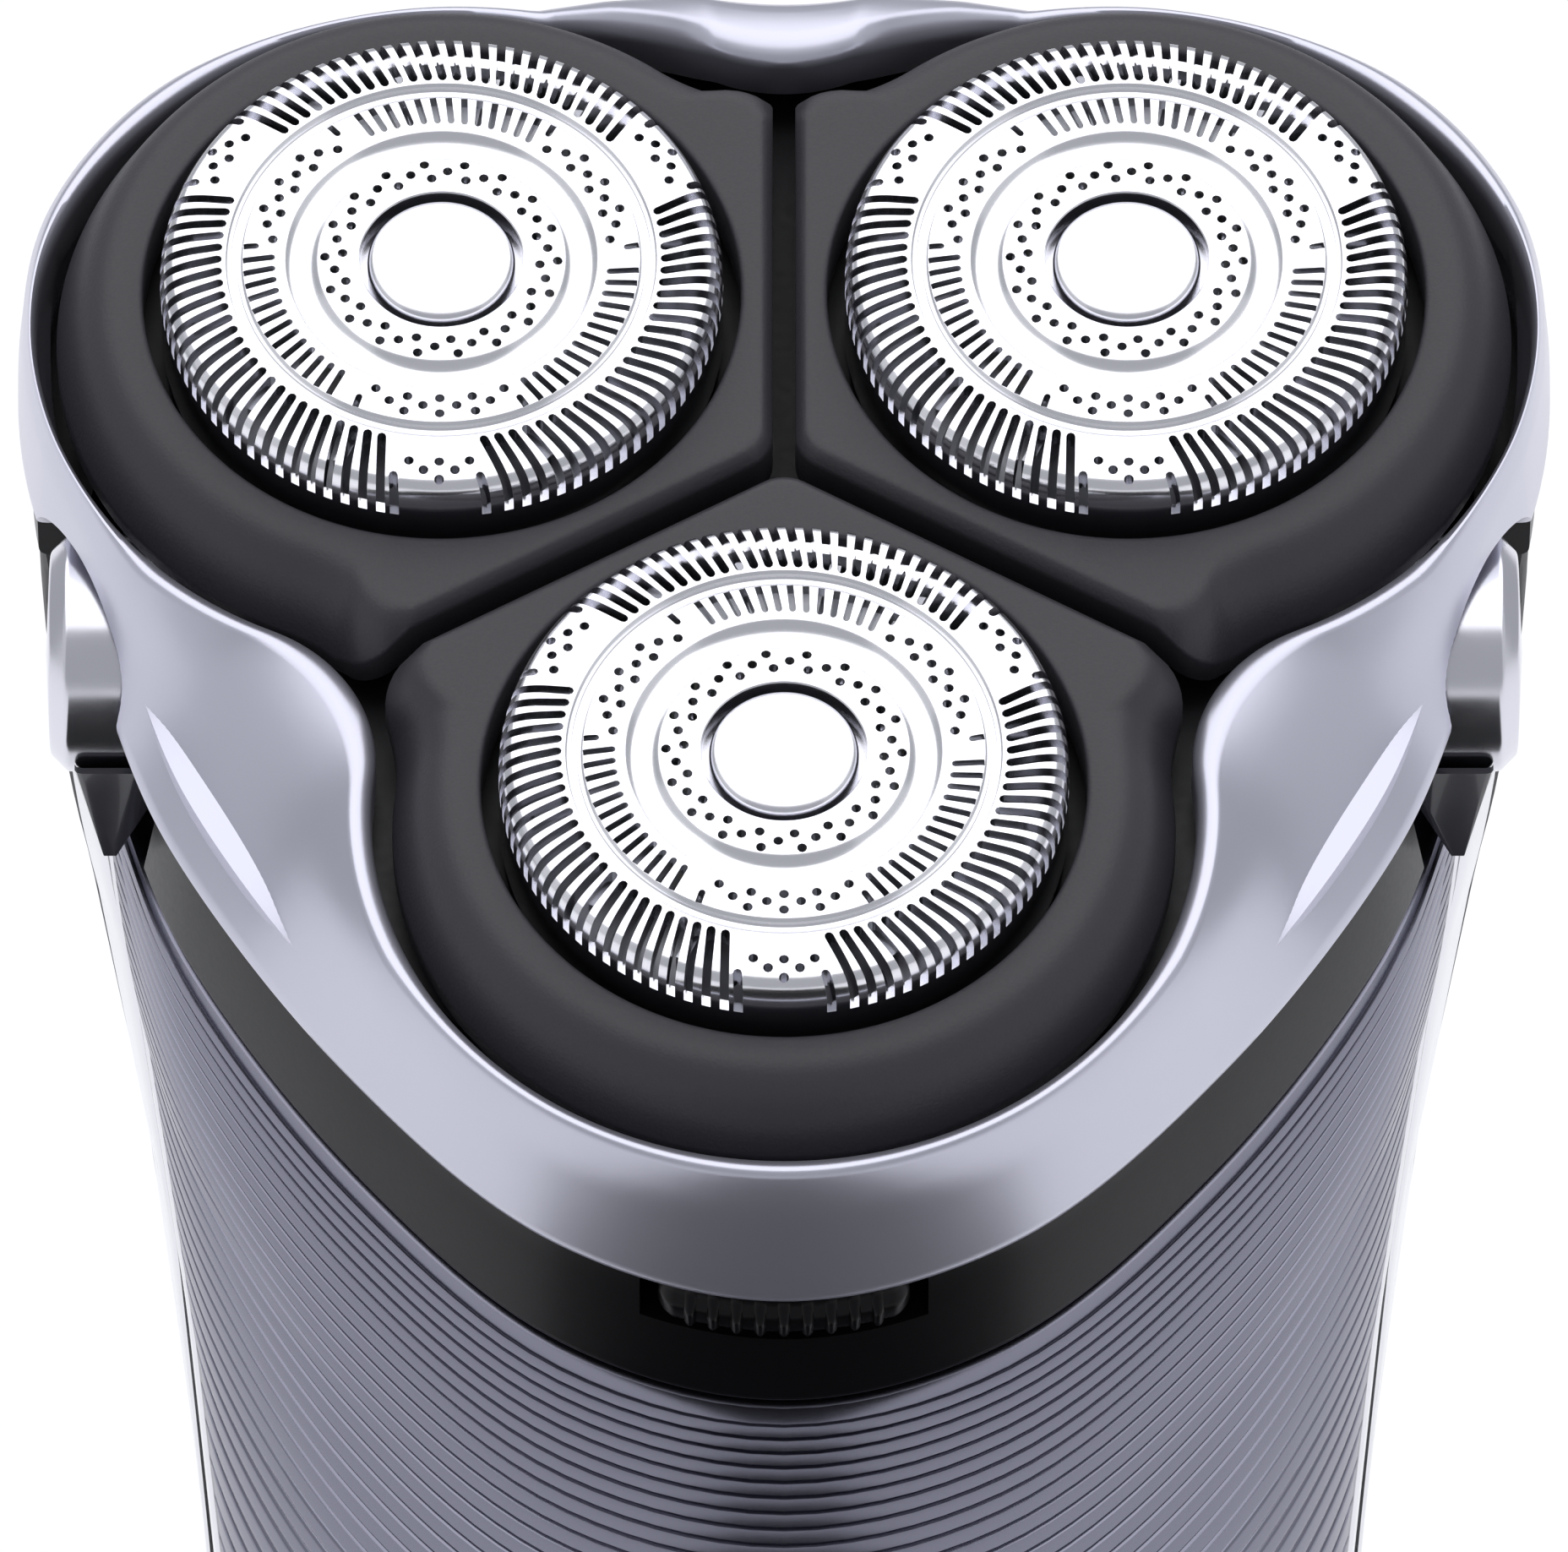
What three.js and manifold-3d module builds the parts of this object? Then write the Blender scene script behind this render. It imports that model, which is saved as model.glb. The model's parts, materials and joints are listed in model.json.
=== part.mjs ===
// Cordless electric shaver with three rotary cutting heads.
// Millimetres, +Z up, front of the handle towards -Y, origin on the middle of the flat base.
import * as THREE from 'three';
import { mergeVertices } from 'three/addons/utils/BufferGeometryUtils.js';
import Module from 'manifold-3d';

const wasm = await Module();
wasm.setup();

const GAP = 0.3;                                        // between pieces that touch

// The head plane leans forward. u runs to the right, v up the plane to the back, w along its normal.
const HEAD_TILT = THREE.MathUtils.degToRad(25);
const HEAD_CENTRE = new THREE.Vector3(0, -4, 148);      // middle of the three cap faces
const LOBE_ANGLES = [30, 150, 270];
const LOBE_PITCH = 15.8;                                // head centre to each cap centre
const CAP_RADIUS = 11.25;
const SEGMENT_TOP = -2.2;
const SEGMENT_BORE = 11.95;
const LOBE_RADIUS = 15.5;
const VALLEY_RADIUS = 7.55;                             // hollow curve between two lobes
const VALLEY_CENTRE = 26.45;
const GROOVE_HALF = 0.45;                               // half the groove between two segments
const RIM_W = -10.9;                                    // lower rim of the silver frame
const COLLAR_W = -19;                                   // lower edge of the black collar
const PIVOT = { v: -2.56, w: -12.6, radius: 4.75 };     // neck tilts about u through here
const BARREL_END = 29.4;
const HINGE = { v: 24.4, w: -12.3, pin: 0.9, knuckle: 1.9 };
const GEAR_TEETH = 28;
const PINION_TEETH = 12;
const GEAR_TOP = -19.2;
const GEAR_THICK = 2.8;
const WALL = 2;

// Right half of the frame's lower rim as (u, v), from the front to the back.
const RIM_POINTS = [
  [0, -34.9], [9, -32.2], [17.7, -23.9], [24.8, -13.2], [27.3, -6.3], [28.6, -1.5], [30.2, 2.8],
  [30.9, 7.8], [30.2, 15.3], [25.6, 22], [16.2, 25.5], [8, 25.8], [0, 25.5],
];

// Handle from the base up. z and y place each section, tilt leans it, front and rear are its depths,
// and blend takes its outline from a plain oval to the rim's rounded triangle.
const HANDLE = [
  { z: 3, y: 0, tilt: 0, side: 20.6, front: 16.2, rear: 16.2, blend: 0 },
  { z: 12, y: 0, tilt: 1, side: 21.3, front: 16.9, rear: 16.9, blend: 0 },
  { z: 40, y: 0, tilt: 6, side: 21.7, front: 17.8, rear: 17.5, blend: 0 },
  { z: 75, y: -0.5, tilt: 16, side: 22.3, front: 21, rear: 20.3, blend: 0.05 },
  { z: 95, y: -1, tilt: 22, side: 22.7, front: 25.4, rear: 23.3, blend: 0.2 },
  { z: 110, y: 0.5, tilt: 25, side: 22.4, front: 30.2, rear: 25.2, blend: 0.5 },
  { z: 121, y: 2.4, tilt: 25, side: 22.5, front: 33.2, rear: 25.5, blend: 0.8 },
  { z: 130.5, y: 4.16, tilt: 25, side: 28.7, front: 34.2, rear: 24, blend: 1 },
  { z: 133.6, y: 2.85, tilt: 21.6, side: 29.4, front: 34.4, rear: 24, blend: 1 },
];
const SHELL_TOP = 7;                                    // section under the collar
const REAR_TOP = 8;                                     // section under the neck cover

const deg = THREE.MathUtils.degToRad;
const lerp = THREE.MathUtils.lerp;
const clamp = THREE.MathUtils.clamp;

function finish(color, roughness, metalness) {
  return new THREE.MeshStandardMaterial({ color, roughness, metalness });
}

const SATIN_SILVER = [0xc8c8d6, 0.32, 0.8];
const CHROME = [0xe6e6ea, 0.08, 1];
const STEEL = [0xd2d2d6, 0.25, 1];
const BLACK_SATIN = [0x111113, 0.35, 0];
const GREY_MATTE = [0x45454a, 0.6, 0];
const PANEL_GREY = [0x55555f, 0.35, 0.6];
const BLACK_PLASTIC = [0x1b1b1e, 0.5, 0];
const GLOSS_GREY = [0x2c2c31, 0.12, 0];
const NYLON = [0xe4e2da, 0.5, 0];
const BRASS = [0xc9a655, 0.3, 1];
const CELL_GREEN = [0x2f6e57, 0.45, 0];
const BOARD_GREEN = [0x1f5a35, 0.5, 0];
const WINDOW = [0xd8dde2, 0.1, 0];

function place(parent, name, geometry, look) {
  const mesh = new THREE.Mesh(geometry, finish(...look));
  mesh.name = name;
  parent.add(mesh);
  return mesh;
}

// ---- solids from sections ----

function signedVolume(points, index) {
  let sum = 0;
  for (let i = 0; i < index.length; i += 3) {
    const [a, b, c] = [points[index[i]], points[index[i + 1]], points[index[i + 2]]];
    sum += a.dot(new THREE.Vector3().crossVectors(b, c));
  }
  return sum;
}

// Joins closed sections, each the same count of points. An open run gets a cap at each end.
function loft(sections, closed) {
  const count = sections[0].length;
  const points = sections.flat();
  const index = [];
  const quad = (a, b, c, d) => index.push(a, b, c, a, c, d);
  const runs = closed ? sections.length : sections.length - 1;
  for (let i = 0; i < runs; i += 1) {
    const here = i * count;
    const next = ((i + 1) % sections.length) * count;
    for (let j = 0; j < count; j += 1) {
      const k = (j + 1) % count;
      quad(here + j, next + j, next + k, here + k);
    }
  }
  if (!closed) {
    const last = (sections.length - 1) * count;
    for (let j = 0; j < count / 2 - 1; j += 1) {
      quad(j, j + 1, count - 2 - j, count - 1 - j);
      quad(last + count - 1 - j, last + count - 2 - j, last + j + 1, last + j);
    }
  }
  if (signedVolume(points, index) < 0) index.reverse();
  const geometry = new THREE.BufferGeometry().setFromPoints(points);
  geometry.setIndex(index);
  return geometry;
}

// A ring about w: sectionAt gives the closed section as (radius, height) for each direction.
function ring(sectionAt, steps, from = 0, to = 360) {
  const closed = to - from === 360;
  const sections = [];
  for (let i = 0; i < steps + (closed ? 0 : 1); i += 1) {
    const angle = deg(from + (to - from) * i / steps);
    sections.push(sectionAt(angle).map(
      ([r, w]) => new THREE.Vector3(r * Math.cos(angle), r * Math.sin(angle), w)));
  }
  return loft(sections, closed);
}

// A turned piece about w from a closed or axis-to-axis profile of (radius, height).
function turned(profile, segments = 28) {
  const points = profile.map(([r, w]) => new THREE.Vector2(r, w));
  if (THREE.ShapeUtils.area(points) < 0) points.reverse();
  const geometry = new THREE.LatheGeometry(points, segments);
  return geometry.rotateX(Math.PI / 2);
}

function disc(radius, low, high, segments = 28) {
  return turned([[0, low], [radius, low], [radius, high], [0, high]], segments);
}

function washer(inner, outer, low, high, segments = 28) {
  return turned([[inner, low], [outer, low], [outer, high], [inner, high], [inner, low]], segments);
}

// A rod along u between two values, at (v, w).
function rodAlongU(radius, from, to, v, w, segments = 16) {
  const geometry = new THREE.CylinderGeometry(radius, radius, to - from, segments);
  return geometry.rotateZ(Math.PI / 2).translate((from + to) / 2, v, w);
}

function box(sizeX, sizeY, sizeZ, x, y, z) {
  return new THREE.BoxGeometry(sizeX, sizeY, sizeZ).translate(x, y, z);
}

// ---- joins and cuts ----

function solid(geometry) {
  const bare = geometry.clone();
  bare.deleteAttribute('normal');
  bare.deleteAttribute('uv');
  const merged = mergeVertices(bare, 1e-4);
  return new wasm.Manifold(new wasm.Mesh({
    numProp: 3,
    vertProperties: new Float32Array(merged.attributes.position.array),
    triVerts: new Uint32Array(merged.index.array),
  }));
}

function shape(manifold) {
  const mesh = manifold.getMesh();
  const geometry = new THREE.BufferGeometry();
  geometry.setAttribute('position', new THREE.BufferAttribute(mesh.vertProperties, 3));
  geometry.setIndex(new THREE.BufferAttribute(mesh.triVerts, 1));
  return geometry;
}

function join(first, ...others) {
  return shape(others.reduce((sum, other) => sum.add(solid(other)), solid(first)));
}

function cut(first, ...tools) {
  return shape(tools.reduce((rest, tool) => rest.subtract(solid(tool)), solid(first)));
}

// ---- outlines in the head plane ----

const rimCurve = new THREE.CatmullRomCurve3([
  ...RIM_POINTS.map(([u, v]) => new THREE.Vector3(u, v, 0)),
  ...RIM_POINTS.slice(1, -1).reverse().map(([u, v]) => new THREE.Vector3(-u, v, 0)),
], true, 'centripetal');
const rimSamples = rimCurve.getPoints(720)
  .map((p) => ({ angle: Math.atan2(p.y, p.x), radius: Math.hypot(p.x, p.y) }))
  .sort((a, b) => a.angle - b.angle);

function rimRadius(angle) {
  const wrapped = Math.atan2(Math.sin(angle), Math.cos(angle));
  let next = rimSamples.findIndex((sample) => sample.angle > wrapped);
  if (next < 1) next = rimSamples.length - 1;
  const [a, b] = [rimSamples[next - 1], rimSamples[next]];
  return lerp(a.radius, b.radius, clamp((wrapped - a.angle) / (b.angle - a.angle || 1), 0, 1));
}

// Radius of the three-lobed outline of the segments, let out by offset.
function trefoilRadius(angle, offset) {
  const third = 2 * Math.PI / 3;
  const fromLobe = Math.abs(((angle - deg(LOBE_ANGLES[0])) % third + 1.5 * third) % third - third / 2);
  const meet = deg(96.4);
  const lobe = LOBE_RADIUS + offset;
  const meetAngle = Math.atan2(lobe * Math.sin(meet), LOBE_PITCH + lobe * Math.cos(meet));
  if (fromLobe < meetAngle) {
    const reach = LOBE_PITCH * Math.sin(fromLobe);
    return LOBE_PITCH * Math.cos(fromLobe) + Math.sqrt(lobe * lobe - reach * reach);
  }
  const fromValley = third / 2 - fromLobe;
  const valley = VALLEY_RADIUS - offset;
  const reach = VALLEY_CENTRE * Math.sin(fromValley);
  return VALLEY_CENTRE * Math.cos(fromValley) - Math.sqrt(valley * valley - reach * reach);
}

// How far a segment reaches from its own cap centre: to the trefoil or to the groove beside it.
function segmentReach(angle, inset) {
  const inside = (r) => {
    const u = LOBE_PITCH + r * Math.cos(angle);
    const v = Math.abs(r * Math.sin(angle));
    const toGroove = u * Math.sin(Math.PI / 3) - v * Math.cos(Math.PI / 3);
    const outline = trefoilRadius(Math.atan2(v, u) + deg(LOBE_ANGLES[0]), -inset);
    return toGroove > GROOVE_HALF + inset && Math.hypot(u, v) < outline;
  };
  let [low, high] = [5, 30];
  for (let i = 0; i < 30; i += 1) {
    const middle = (low + high) / 2;
    if (inside(middle)) low = middle;
    else high = middle;
  }
  return low;
}

// ---- the handle's surface ----

function handleSection(t) {
  const row = Math.min(Math.floor(t), HANDLE.length - 2);
  const mix = (key) => lerp(HANDLE[row][key], HANDLE[row + 1][key], t - row);
  return Object.fromEntries(Object.keys(HANDLE[0]).map((key) => [key, mix(key)]));
}

function handlePoint(t, angle, inset) {
  const s = handleSection(t);
  const depth = Math.sin(angle) < 0 ? s.front : s.rear;
  const [c, d] = [Math.abs(Math.cos(angle)), Math.abs(Math.sin(angle))];
  const power = 2.3;
  const oval = ((c / s.side) ** power + (d / depth) ** power) ** (-1 / power);
  const radius = lerp(oval, rimRadius(angle) - 0.7, s.blend) - inset;
  const [u, v] = [radius * Math.cos(angle), radius * Math.sin(angle)];
  const lean = deg(s.tilt);
  return new THREE.Vector3(u, s.y + v * Math.cos(lean), s.z + v * Math.sin(lean));
}

// Part of the handle's wall between two directions, from one section to another.
function wallPlate(fromT, toT, rows, fromAngle, toAngle, steps, outer = 0, inner = WALL) {
  const sections = [];
  for (let i = 0; i <= rows; i += 1) {
    const t = lerp(fromT, toT, i / rows);
    const [start, end] = [fromAngle(t), toAngle(t)];
    const along = Array.from({ length: steps + 1 }, (_, j) => deg(lerp(start, end, j / steps)));
    sections.push([
      ...along.map((angle) => handlePoint(t, angle, outer)),
      ...along.reverse().map((angle) => handlePoint(t, angle, inner)),
    ]);
  }
  return loft(sections, false);
}

const shaver = new THREE.Group();
const head = new THREE.Group();
head.position.copy(HEAD_CENTRE);
head.rotation.x = HEAD_TILT;
shaver.add(head);

// ---- handle ----

// The bright strips run down both sides and thin out to a point under the barrels.
const stripFront = (t) => lerp(25, 5.5, clamp((t - 3.6) / 3.4, 0, 1) ** 1.2);
const STRIP_REAR = 4;
const EDGE_GAP = 1.1;                                   // degrees between neighbouring shells

const BUTTON = { radius: 6.2, bezel: 7.8 };
const CHARGE_WINDOW = { width: 9, height: 3, depth: 1.6, belowButton: 22 };
const buttonFace = handlePoint(2.8, deg(-90), 0);
const buttonLean = Math.atan2(
  handlePoint(3, deg(-90), 0).y - handlePoint(2.6, deg(-90), 0).y,
  handlePoint(3, deg(-90), 0).z - handlePoint(2.6, deg(-90), 0).z);
const windowZ = buttonFace.z - CHARGE_WINDOW.belowButton;

const frontPlain = wallPlate(0, SHELL_TOP, 10,
  (t) => -180 + stripFront(t) + EDGE_GAP, (t) => -stripFront(t) - EDGE_GAP, 24);
const buttonHole = disc(BUTTON.bezel + GAP, -6, 6, 32).rotateX(Math.PI / 2)
  .rotateX(-buttonLean).translate(0, buttonFace.y, buttonFace.z);
const windowHole = box(CHARGE_WINDOW.width + 2 * GAP, 12, CHARGE_WINDOW.height + 2 * GAP, 0, -17, windowZ);
place(shaver, 'front_shell', cut(frontPlain, buttonHole, windowHole), PANEL_GREY);
place(shaver, 'rear_shell', wallPlate(0, REAR_TOP, 12,
  (t) => (t > SHELL_TOP ? 7.5 : STRIP_REAR + EDGE_GAP),
  (t) => 180 - (t > SHELL_TOP ? 7.5 : STRIP_REAR + EDGE_GAP), 22), BLACK_SATIN);
place(shaver, 'side_trim_right', wallPlate(0, SHELL_TOP - 0.25, 10,
  (t) => -stripFront(t), () => STRIP_REAR, 2), CHROME);
place(shaver, 'side_trim_left', wallPlate(0, SHELL_TOP - 0.25, 10,
  () => 180 - STRIP_REAR, (t) => 180 + stripFront(t), 2), CHROME);

// Base: a flat foot with an opening behind its middle for the charging inlet.
const INLET = { y: 7.4, width: 11, depth: 6.6, wall: 1.1, height: 10.5 };
const CONTACT = { x: 2.6, radius: 0.8, low: 4.8, high: 13 };
const baseSection = (inset, z) => Array.from({ length: 36 }, (_, i) => {
  const p = handlePoint(0, deg(i * 10), inset);
  return new THREE.Vector3(p.x, p.y, z);
});
const fan = (z, inset) => baseSection(inset, z).map((p) => new THREE.Vector3(p.x * 0.02, p.y * 0.02, z));
const basePlain = loft([
  fan(0, 2.4), baseSection(2.4, 0), baseSection(1.1, 0.5), baseSection(0.3, 1.5), baseSection(0, 2.7),
  fan(2.7, 0),
], false);
const inletHole = box(INLET.width + 2 * (INLET.wall + GAP), INLET.depth + 2 * (INLET.wall + GAP), 8,
  0, INLET.y, 1);
place(shaver, 'base_cap', cut(basePlain, inletHole), BLACK_PLASTIC);

const inletBlock = box(INLET.width + 2 * INLET.wall, INLET.depth + 2 * INLET.wall, INLET.height,
  0, INLET.y, 0.2 + INLET.height / 2);
const inletRecess = box(INLET.width, INLET.depth, INLET.height, 0, INLET.y, INLET.height / 2 - 1.4);
const contactHoles = [-CONTACT.x, CONTACT.x].map(
  (x) => disc(CONTACT.radius + GAP, CONTACT.low - 0.8, CONTACT.high + 1, 16).translate(x, INLET.y, 0));
place(shaver, 'inlet_insert', cut(inletBlock, inletRecess, ...contactHoles), BLACK_PLASTIC);
[['left', -CONTACT.x], ['right', CONTACT.x]].forEach(([side, x]) => {
  place(shaver, `inlet_pin_${side}`, disc(CONTACT.radius, CONTACT.low, CONTACT.high, 16), BRASS)
    .position.set(x, INLET.y, 0);
});

// Power button with its ring, and the charge light's window.
const buttonGroup = new THREE.Group();
buttonGroup.position.copy(buttonFace);
buttonGroup.rotation.x = Math.PI / 2 - buttonLean;
shaver.add(buttonGroup);
place(buttonGroup, 'button_bezel', washer(BUTTON.radius + GAP, BUTTON.bezel, -2.2, 0.4), CHROME);
place(buttonGroup, 'power_button', turned([
  [0, -1.6], [BUTTON.radius, -1.6], [BUTTON.radius, 0.3], [BUTTON.radius - 0.5, 0.7], [0, 0.5],
]), BLACK_SATIN);
const windowFace = handlePoint(1.95, deg(-90), 0).y;
place(shaver, 'charge_window', box(CHARGE_WINDOW.width, CHARGE_WINDOW.depth, CHARGE_WINDOW.height,
  0, windowFace + 0.9, windowZ), WINDOW);

// Inside the handle.
place(shaver, 'chassis', join(
  box(30, 1.5, 92, 0, 9.6, 62), box(30, 12, 1.5, 0, 4.2, 17), box(30, 12, 1.5, 0, 4.2, 74)), BLACK_PLASTIC);
const CELL = { radius: 7.1, low: 20, high: 71, x: 7.6, y: 1.2 };
[['left', -CELL.x], ['right', CELL.x]].forEach(([side, x]) => {
  place(shaver, `battery_cell_${side}`, disc(CELL.radius, CELL.low, CELL.high, 28), CELL_GREEN)
    .position.set(x, CELL.y, 0);
});
place(shaver, 'circuit_board', box(26, 1.2, 76, 0, -10.4, 54), BOARD_GREEN);

// Brackets at the sides carry the two barrels that the neck tilts on.
const cradle = new THREE.Shape();
cradle.moveTo(-8.2, COLLAR_W + 0.2);
cradle.lineTo(2.6, COLLAR_W + 0.2);
cradle.lineTo(2.6, PIVOT.w - 0.9);
cradle.absarc(PIVOT.v, PIVOT.w, PIVOT.radius + GAP, deg(-10), deg(-170), true);
cradle.lineTo(-7.8, PIVOT.w - 0.9);
const BRACKET = { from: 24.4, thick: 4 };
[['right', BRACKET.from], ['left', -BRACKET.from - BRACKET.thick]].forEach(([side, from]) => {
  const bracket = new THREE.ExtrudeGeometry(cradle,
    { depth: BRACKET.thick, bevelEnabled: false, curveSegments: 14 });
  bracket.rotateX(Math.PI / 2).rotateZ(Math.PI / 2);
  place(head, `shoulder_${side}`, bracket.translate(from, 0, 0), GLOSS_GREY);
});
[['right', 1], ['left', -1]].forEach(([side, sign]) => {
  const barrel = turned([
    [0, 21.5], [2, 21.5], [2, 24.6], [PIVOT.radius, 24.6], [PIVOT.radius, BARREL_END - 0.7],
    [PIVOT.radius - 0.7, BARREL_END], [0, BARREL_END + 0.2],
  ], 24).rotateY(sign * Math.PI / 2).translate(0, PIVOT.v, PIVOT.w);
  place(head, `pivot_barrel_${side}`, barrel, CHROME);
});

// Black collar round the front, with the hole for the release button.
const collarPlain = ring((angle) => {
  const rim = rimRadius(angle);
  return [
    [rim - 1.75, -9.8], [rim - 1.75, -13], [rim - 0.7, COLLAR_W],
    [rim - 2.6, COLLAR_W], [rim - 3.4, -13], [rim - 3.4, -9.8],
  ];
}, 36, -161, -19);
place(head, 'collar', cut(collarPlain, box(11.4, 14, 4.3, 0, -34, -13.1)), BLACK_SATIN);
place(head, 'release_button', ring((angle) => {
  const rim = rimRadius(angle);
  return [
    [rim - 1.75, -11.2], [rim - 1.75, -13.1], [rim - 1, -13.7], [rim - 1, -14.6], [rim - 1.5, -14.9],
    [rim - 2.8, -14.9], [rim - 2.8, -13], [rim - 2.8, -11.2],
  ];
}, 6, -98.8, -81.2), BLACK_SATIN);

// ---- neck: hair chamber, drive and rear cover, all tilting on the barrels ----

const neck = new THREE.Group();
head.add(neck);

const CHAMBER_HALF_WIDTH = 23.8;                        // between the side brackets
const chamberWall = (angle) => {
  const outer = Math.min(rimRadius(angle) - 4.6, CHAMBER_HALF_WIDTH / Math.abs(Math.cos(angle)));
  return [[outer, -10], [outer, -18.6], [1, -18.6], [1, -17.2], [outer - 1.5, -17.2], [outer - 1.5, -10]];
};
const chamberCentre = disc(1.5, -18.6, -17.2, 24);
const spindleHoles = LOBE_ANGLES.map((angle) => disc(2, -20, -15, 20).translate(
  LOBE_PITCH * Math.cos(deg(angle)), LOBE_PITCH * Math.sin(deg(angle)), 0));
place(neck, 'hair_chamber', cut(join(ring(chamberWall, 48), chamberCentre),
  rodAlongU(2.4, -30, 30, PIVOT.v, PIVOT.w), ...spindleHoles), BLACK_PLASTIC);

const KNUCKLES = [[-7.6, -4.3], [4.3, 7.6]];                // along u, either side of the frame's lug
const LUG_HALF = 3.9;
const knuckles = KNUCKLES.map(
  ([from, to]) => rodAlongU(HINGE.knuckle, from, to, HINGE.v, HINGE.w));
const coverPlain = ring((angle) => {
  const rim = rimRadius(angle);
  return [[rim - 0.5, -11.5], [rim - 0.5, -15.8], [rim - 2.5, -15.8], [rim - 2.5, -11.5]];
}, 32, 8.5, 171.5);
const coverNotch = rodAlongU(HINGE.knuckle + GAP, -LUG_HALF - GAP, LUG_HALF + GAP,
  HINGE.v, HINGE.w);
const pinHole = rodAlongU(HINGE.pin + GAP, -9, 9, HINGE.v, HINGE.w);
place(neck, 'neck_cover', cut(join(coverPlain, ...knuckles), coverNotch, pinHole), BLACK_SATIN);
place(neck, 'hinge_pin', rodAlongU(HINGE.pin, -7.4, 7.4, HINGE.v, HINGE.w), STEEL);

// Outline of a spur gear with straight-sided teeth.
function gearShape(teeth, module, slack) {
  const pitch = module * teeth / 2;
  const step = 2 * Math.PI / teeth;
  const outline = new THREE.Shape();
  const corners = [[-0.31, -1.15], [-0.12, 0.85], [0.12, 0.85], [0.31, -1.15]];
  for (let i = 0; i < teeth; i += 1) {
    corners.forEach(([along, rise], j) => {
      const angle = step * (i + along) - Math.sign(along) * slack / pitch;
      const radius = pitch + rise * module;
      const point = [radius * Math.cos(angle), radius * Math.sin(angle)];
      if (i + j === 0) outline.moveTo(...point);
      else outline.lineTo(...point);
    });
  }
  return outline;
}

const GEAR_MODULE = 2 * LOBE_PITCH / (GEAR_TEETH + PINION_TEETH);
const gearBlank = (teeth) => new THREE.ExtrudeGeometry(gearShape(teeth, GEAR_MODULE, 0.09),
  { depth: GEAR_THICK, bevelEnabled: false });
const DRIVE_LOW = GEAR_TOP - GEAR_THICK;
LOBE_ANGLES.forEach((angle, i) => {
  const turn = new THREE.Group();
  turn.rotation.z = deg(angle);
  neck.add(turn);
  // A space between two teeth of the gear faces the pinion.
  const gear = gearBlank(GEAR_TEETH).rotateZ(Math.PI / GEAR_TEETH).translate(0, 0, DRIVE_LOW);
  const spindle = disc(1.5, DRIVE_LOW + 0.5, -8.5, 20);
  place(turn, `drive_gear_${i + 1}`, join(gear, spindle), NYLON).position.x = LOBE_PITCH;
});
const pinionShaft = disc(1, DRIVE_LOW - 2.4, DRIVE_LOW + 1, 16);
place(neck, 'motor_pinion', join(gearBlank(PINION_TEETH).translate(0, 0, DRIVE_LOW), pinionShaft), BRASS)
  .rotation.z = deg(LOBE_ANGLES[0]);

const PLATE_TOP = DRIVE_LOW - 0.5;
place(neck, 'gear_plate', ring((angle) => {
  const outer = trefoilRadius(angle, -7);
  return [[1.4, PLATE_TOP - 1.4], [outer, PLATE_TOP - 1.4], [outer, PLATE_TOP], [1.4, PLATE_TOP]];
}, 42), BLACK_PLASTIC);
place(neck, 'motor', disc(7.5, PLATE_TOP - 14, PLATE_TOP - 2.1), STEEL);

// ---- head that opens on the rear hinge ----

const holder = new THREE.Group();
head.add(holder);

// The rim arches over the barrels. At the back the frame drops behind the lobes and stands up
// between them.
function frameSection(angle) {
  const [rim, lip] = [rimRadius(angle), trefoilRadius(angle, 0.8)];
  const v = rim * Math.sin(angle);
  const back = clamp((v - 4) / 18, 0, 1);
  const valley = 1 - clamp((lip - 20.5) / 5, 0, 1);
  const arch = Math.max(0, 1 - ((v - PIVOT.v) / 8.2) ** 2);
  const low = RIM_W + 3.5 * Math.sqrt(arch);
  const crown = lip + Math.min(1, (rim - lip) * 0.3);
  const crownW = lerp(-3.9, lerp(-6, -2.6, valley), back);
  const crease = lerp(crown, rim, 0.58);
  const creaseW = lerp(-6.1, lerp(-7, -3.6, valley), back);
  return [
    [lip, crownW - 2.6], [lip, crownW - 0.8], [crown, crownW], [crease, creaseW],
    [rim, low], [rim - 1.3, low], [rim - 1.3, Math.max(-8.4, low + 0.1)],
    [Math.min(crease - 0.6, rim - 1.5), Math.max(creaseW - 1.8, -7.8)],
  ];
}
const notchHalf = KNUCKLES[1][1] + GAP;
const knuckleNotch = rodAlongU(HINGE.knuckle + GAP, -notchHalf, notchHalf, HINGE.v, HINGE.w);
const lug = rodAlongU(HINGE.knuckle, -LUG_HALF, LUG_HALF, HINGE.v, HINGE.w);
const lugWeb = box(2 * LUG_HALF, 1.3, 5, 0, HINGE.v - 0.4, HINGE.w + 2.9);
place(holder, 'head_frame', cut(join(cut(ring(frameSection, 84), knuckleNotch), lug, lugWeb), pinHole),
  SATIN_SILVER);

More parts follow.
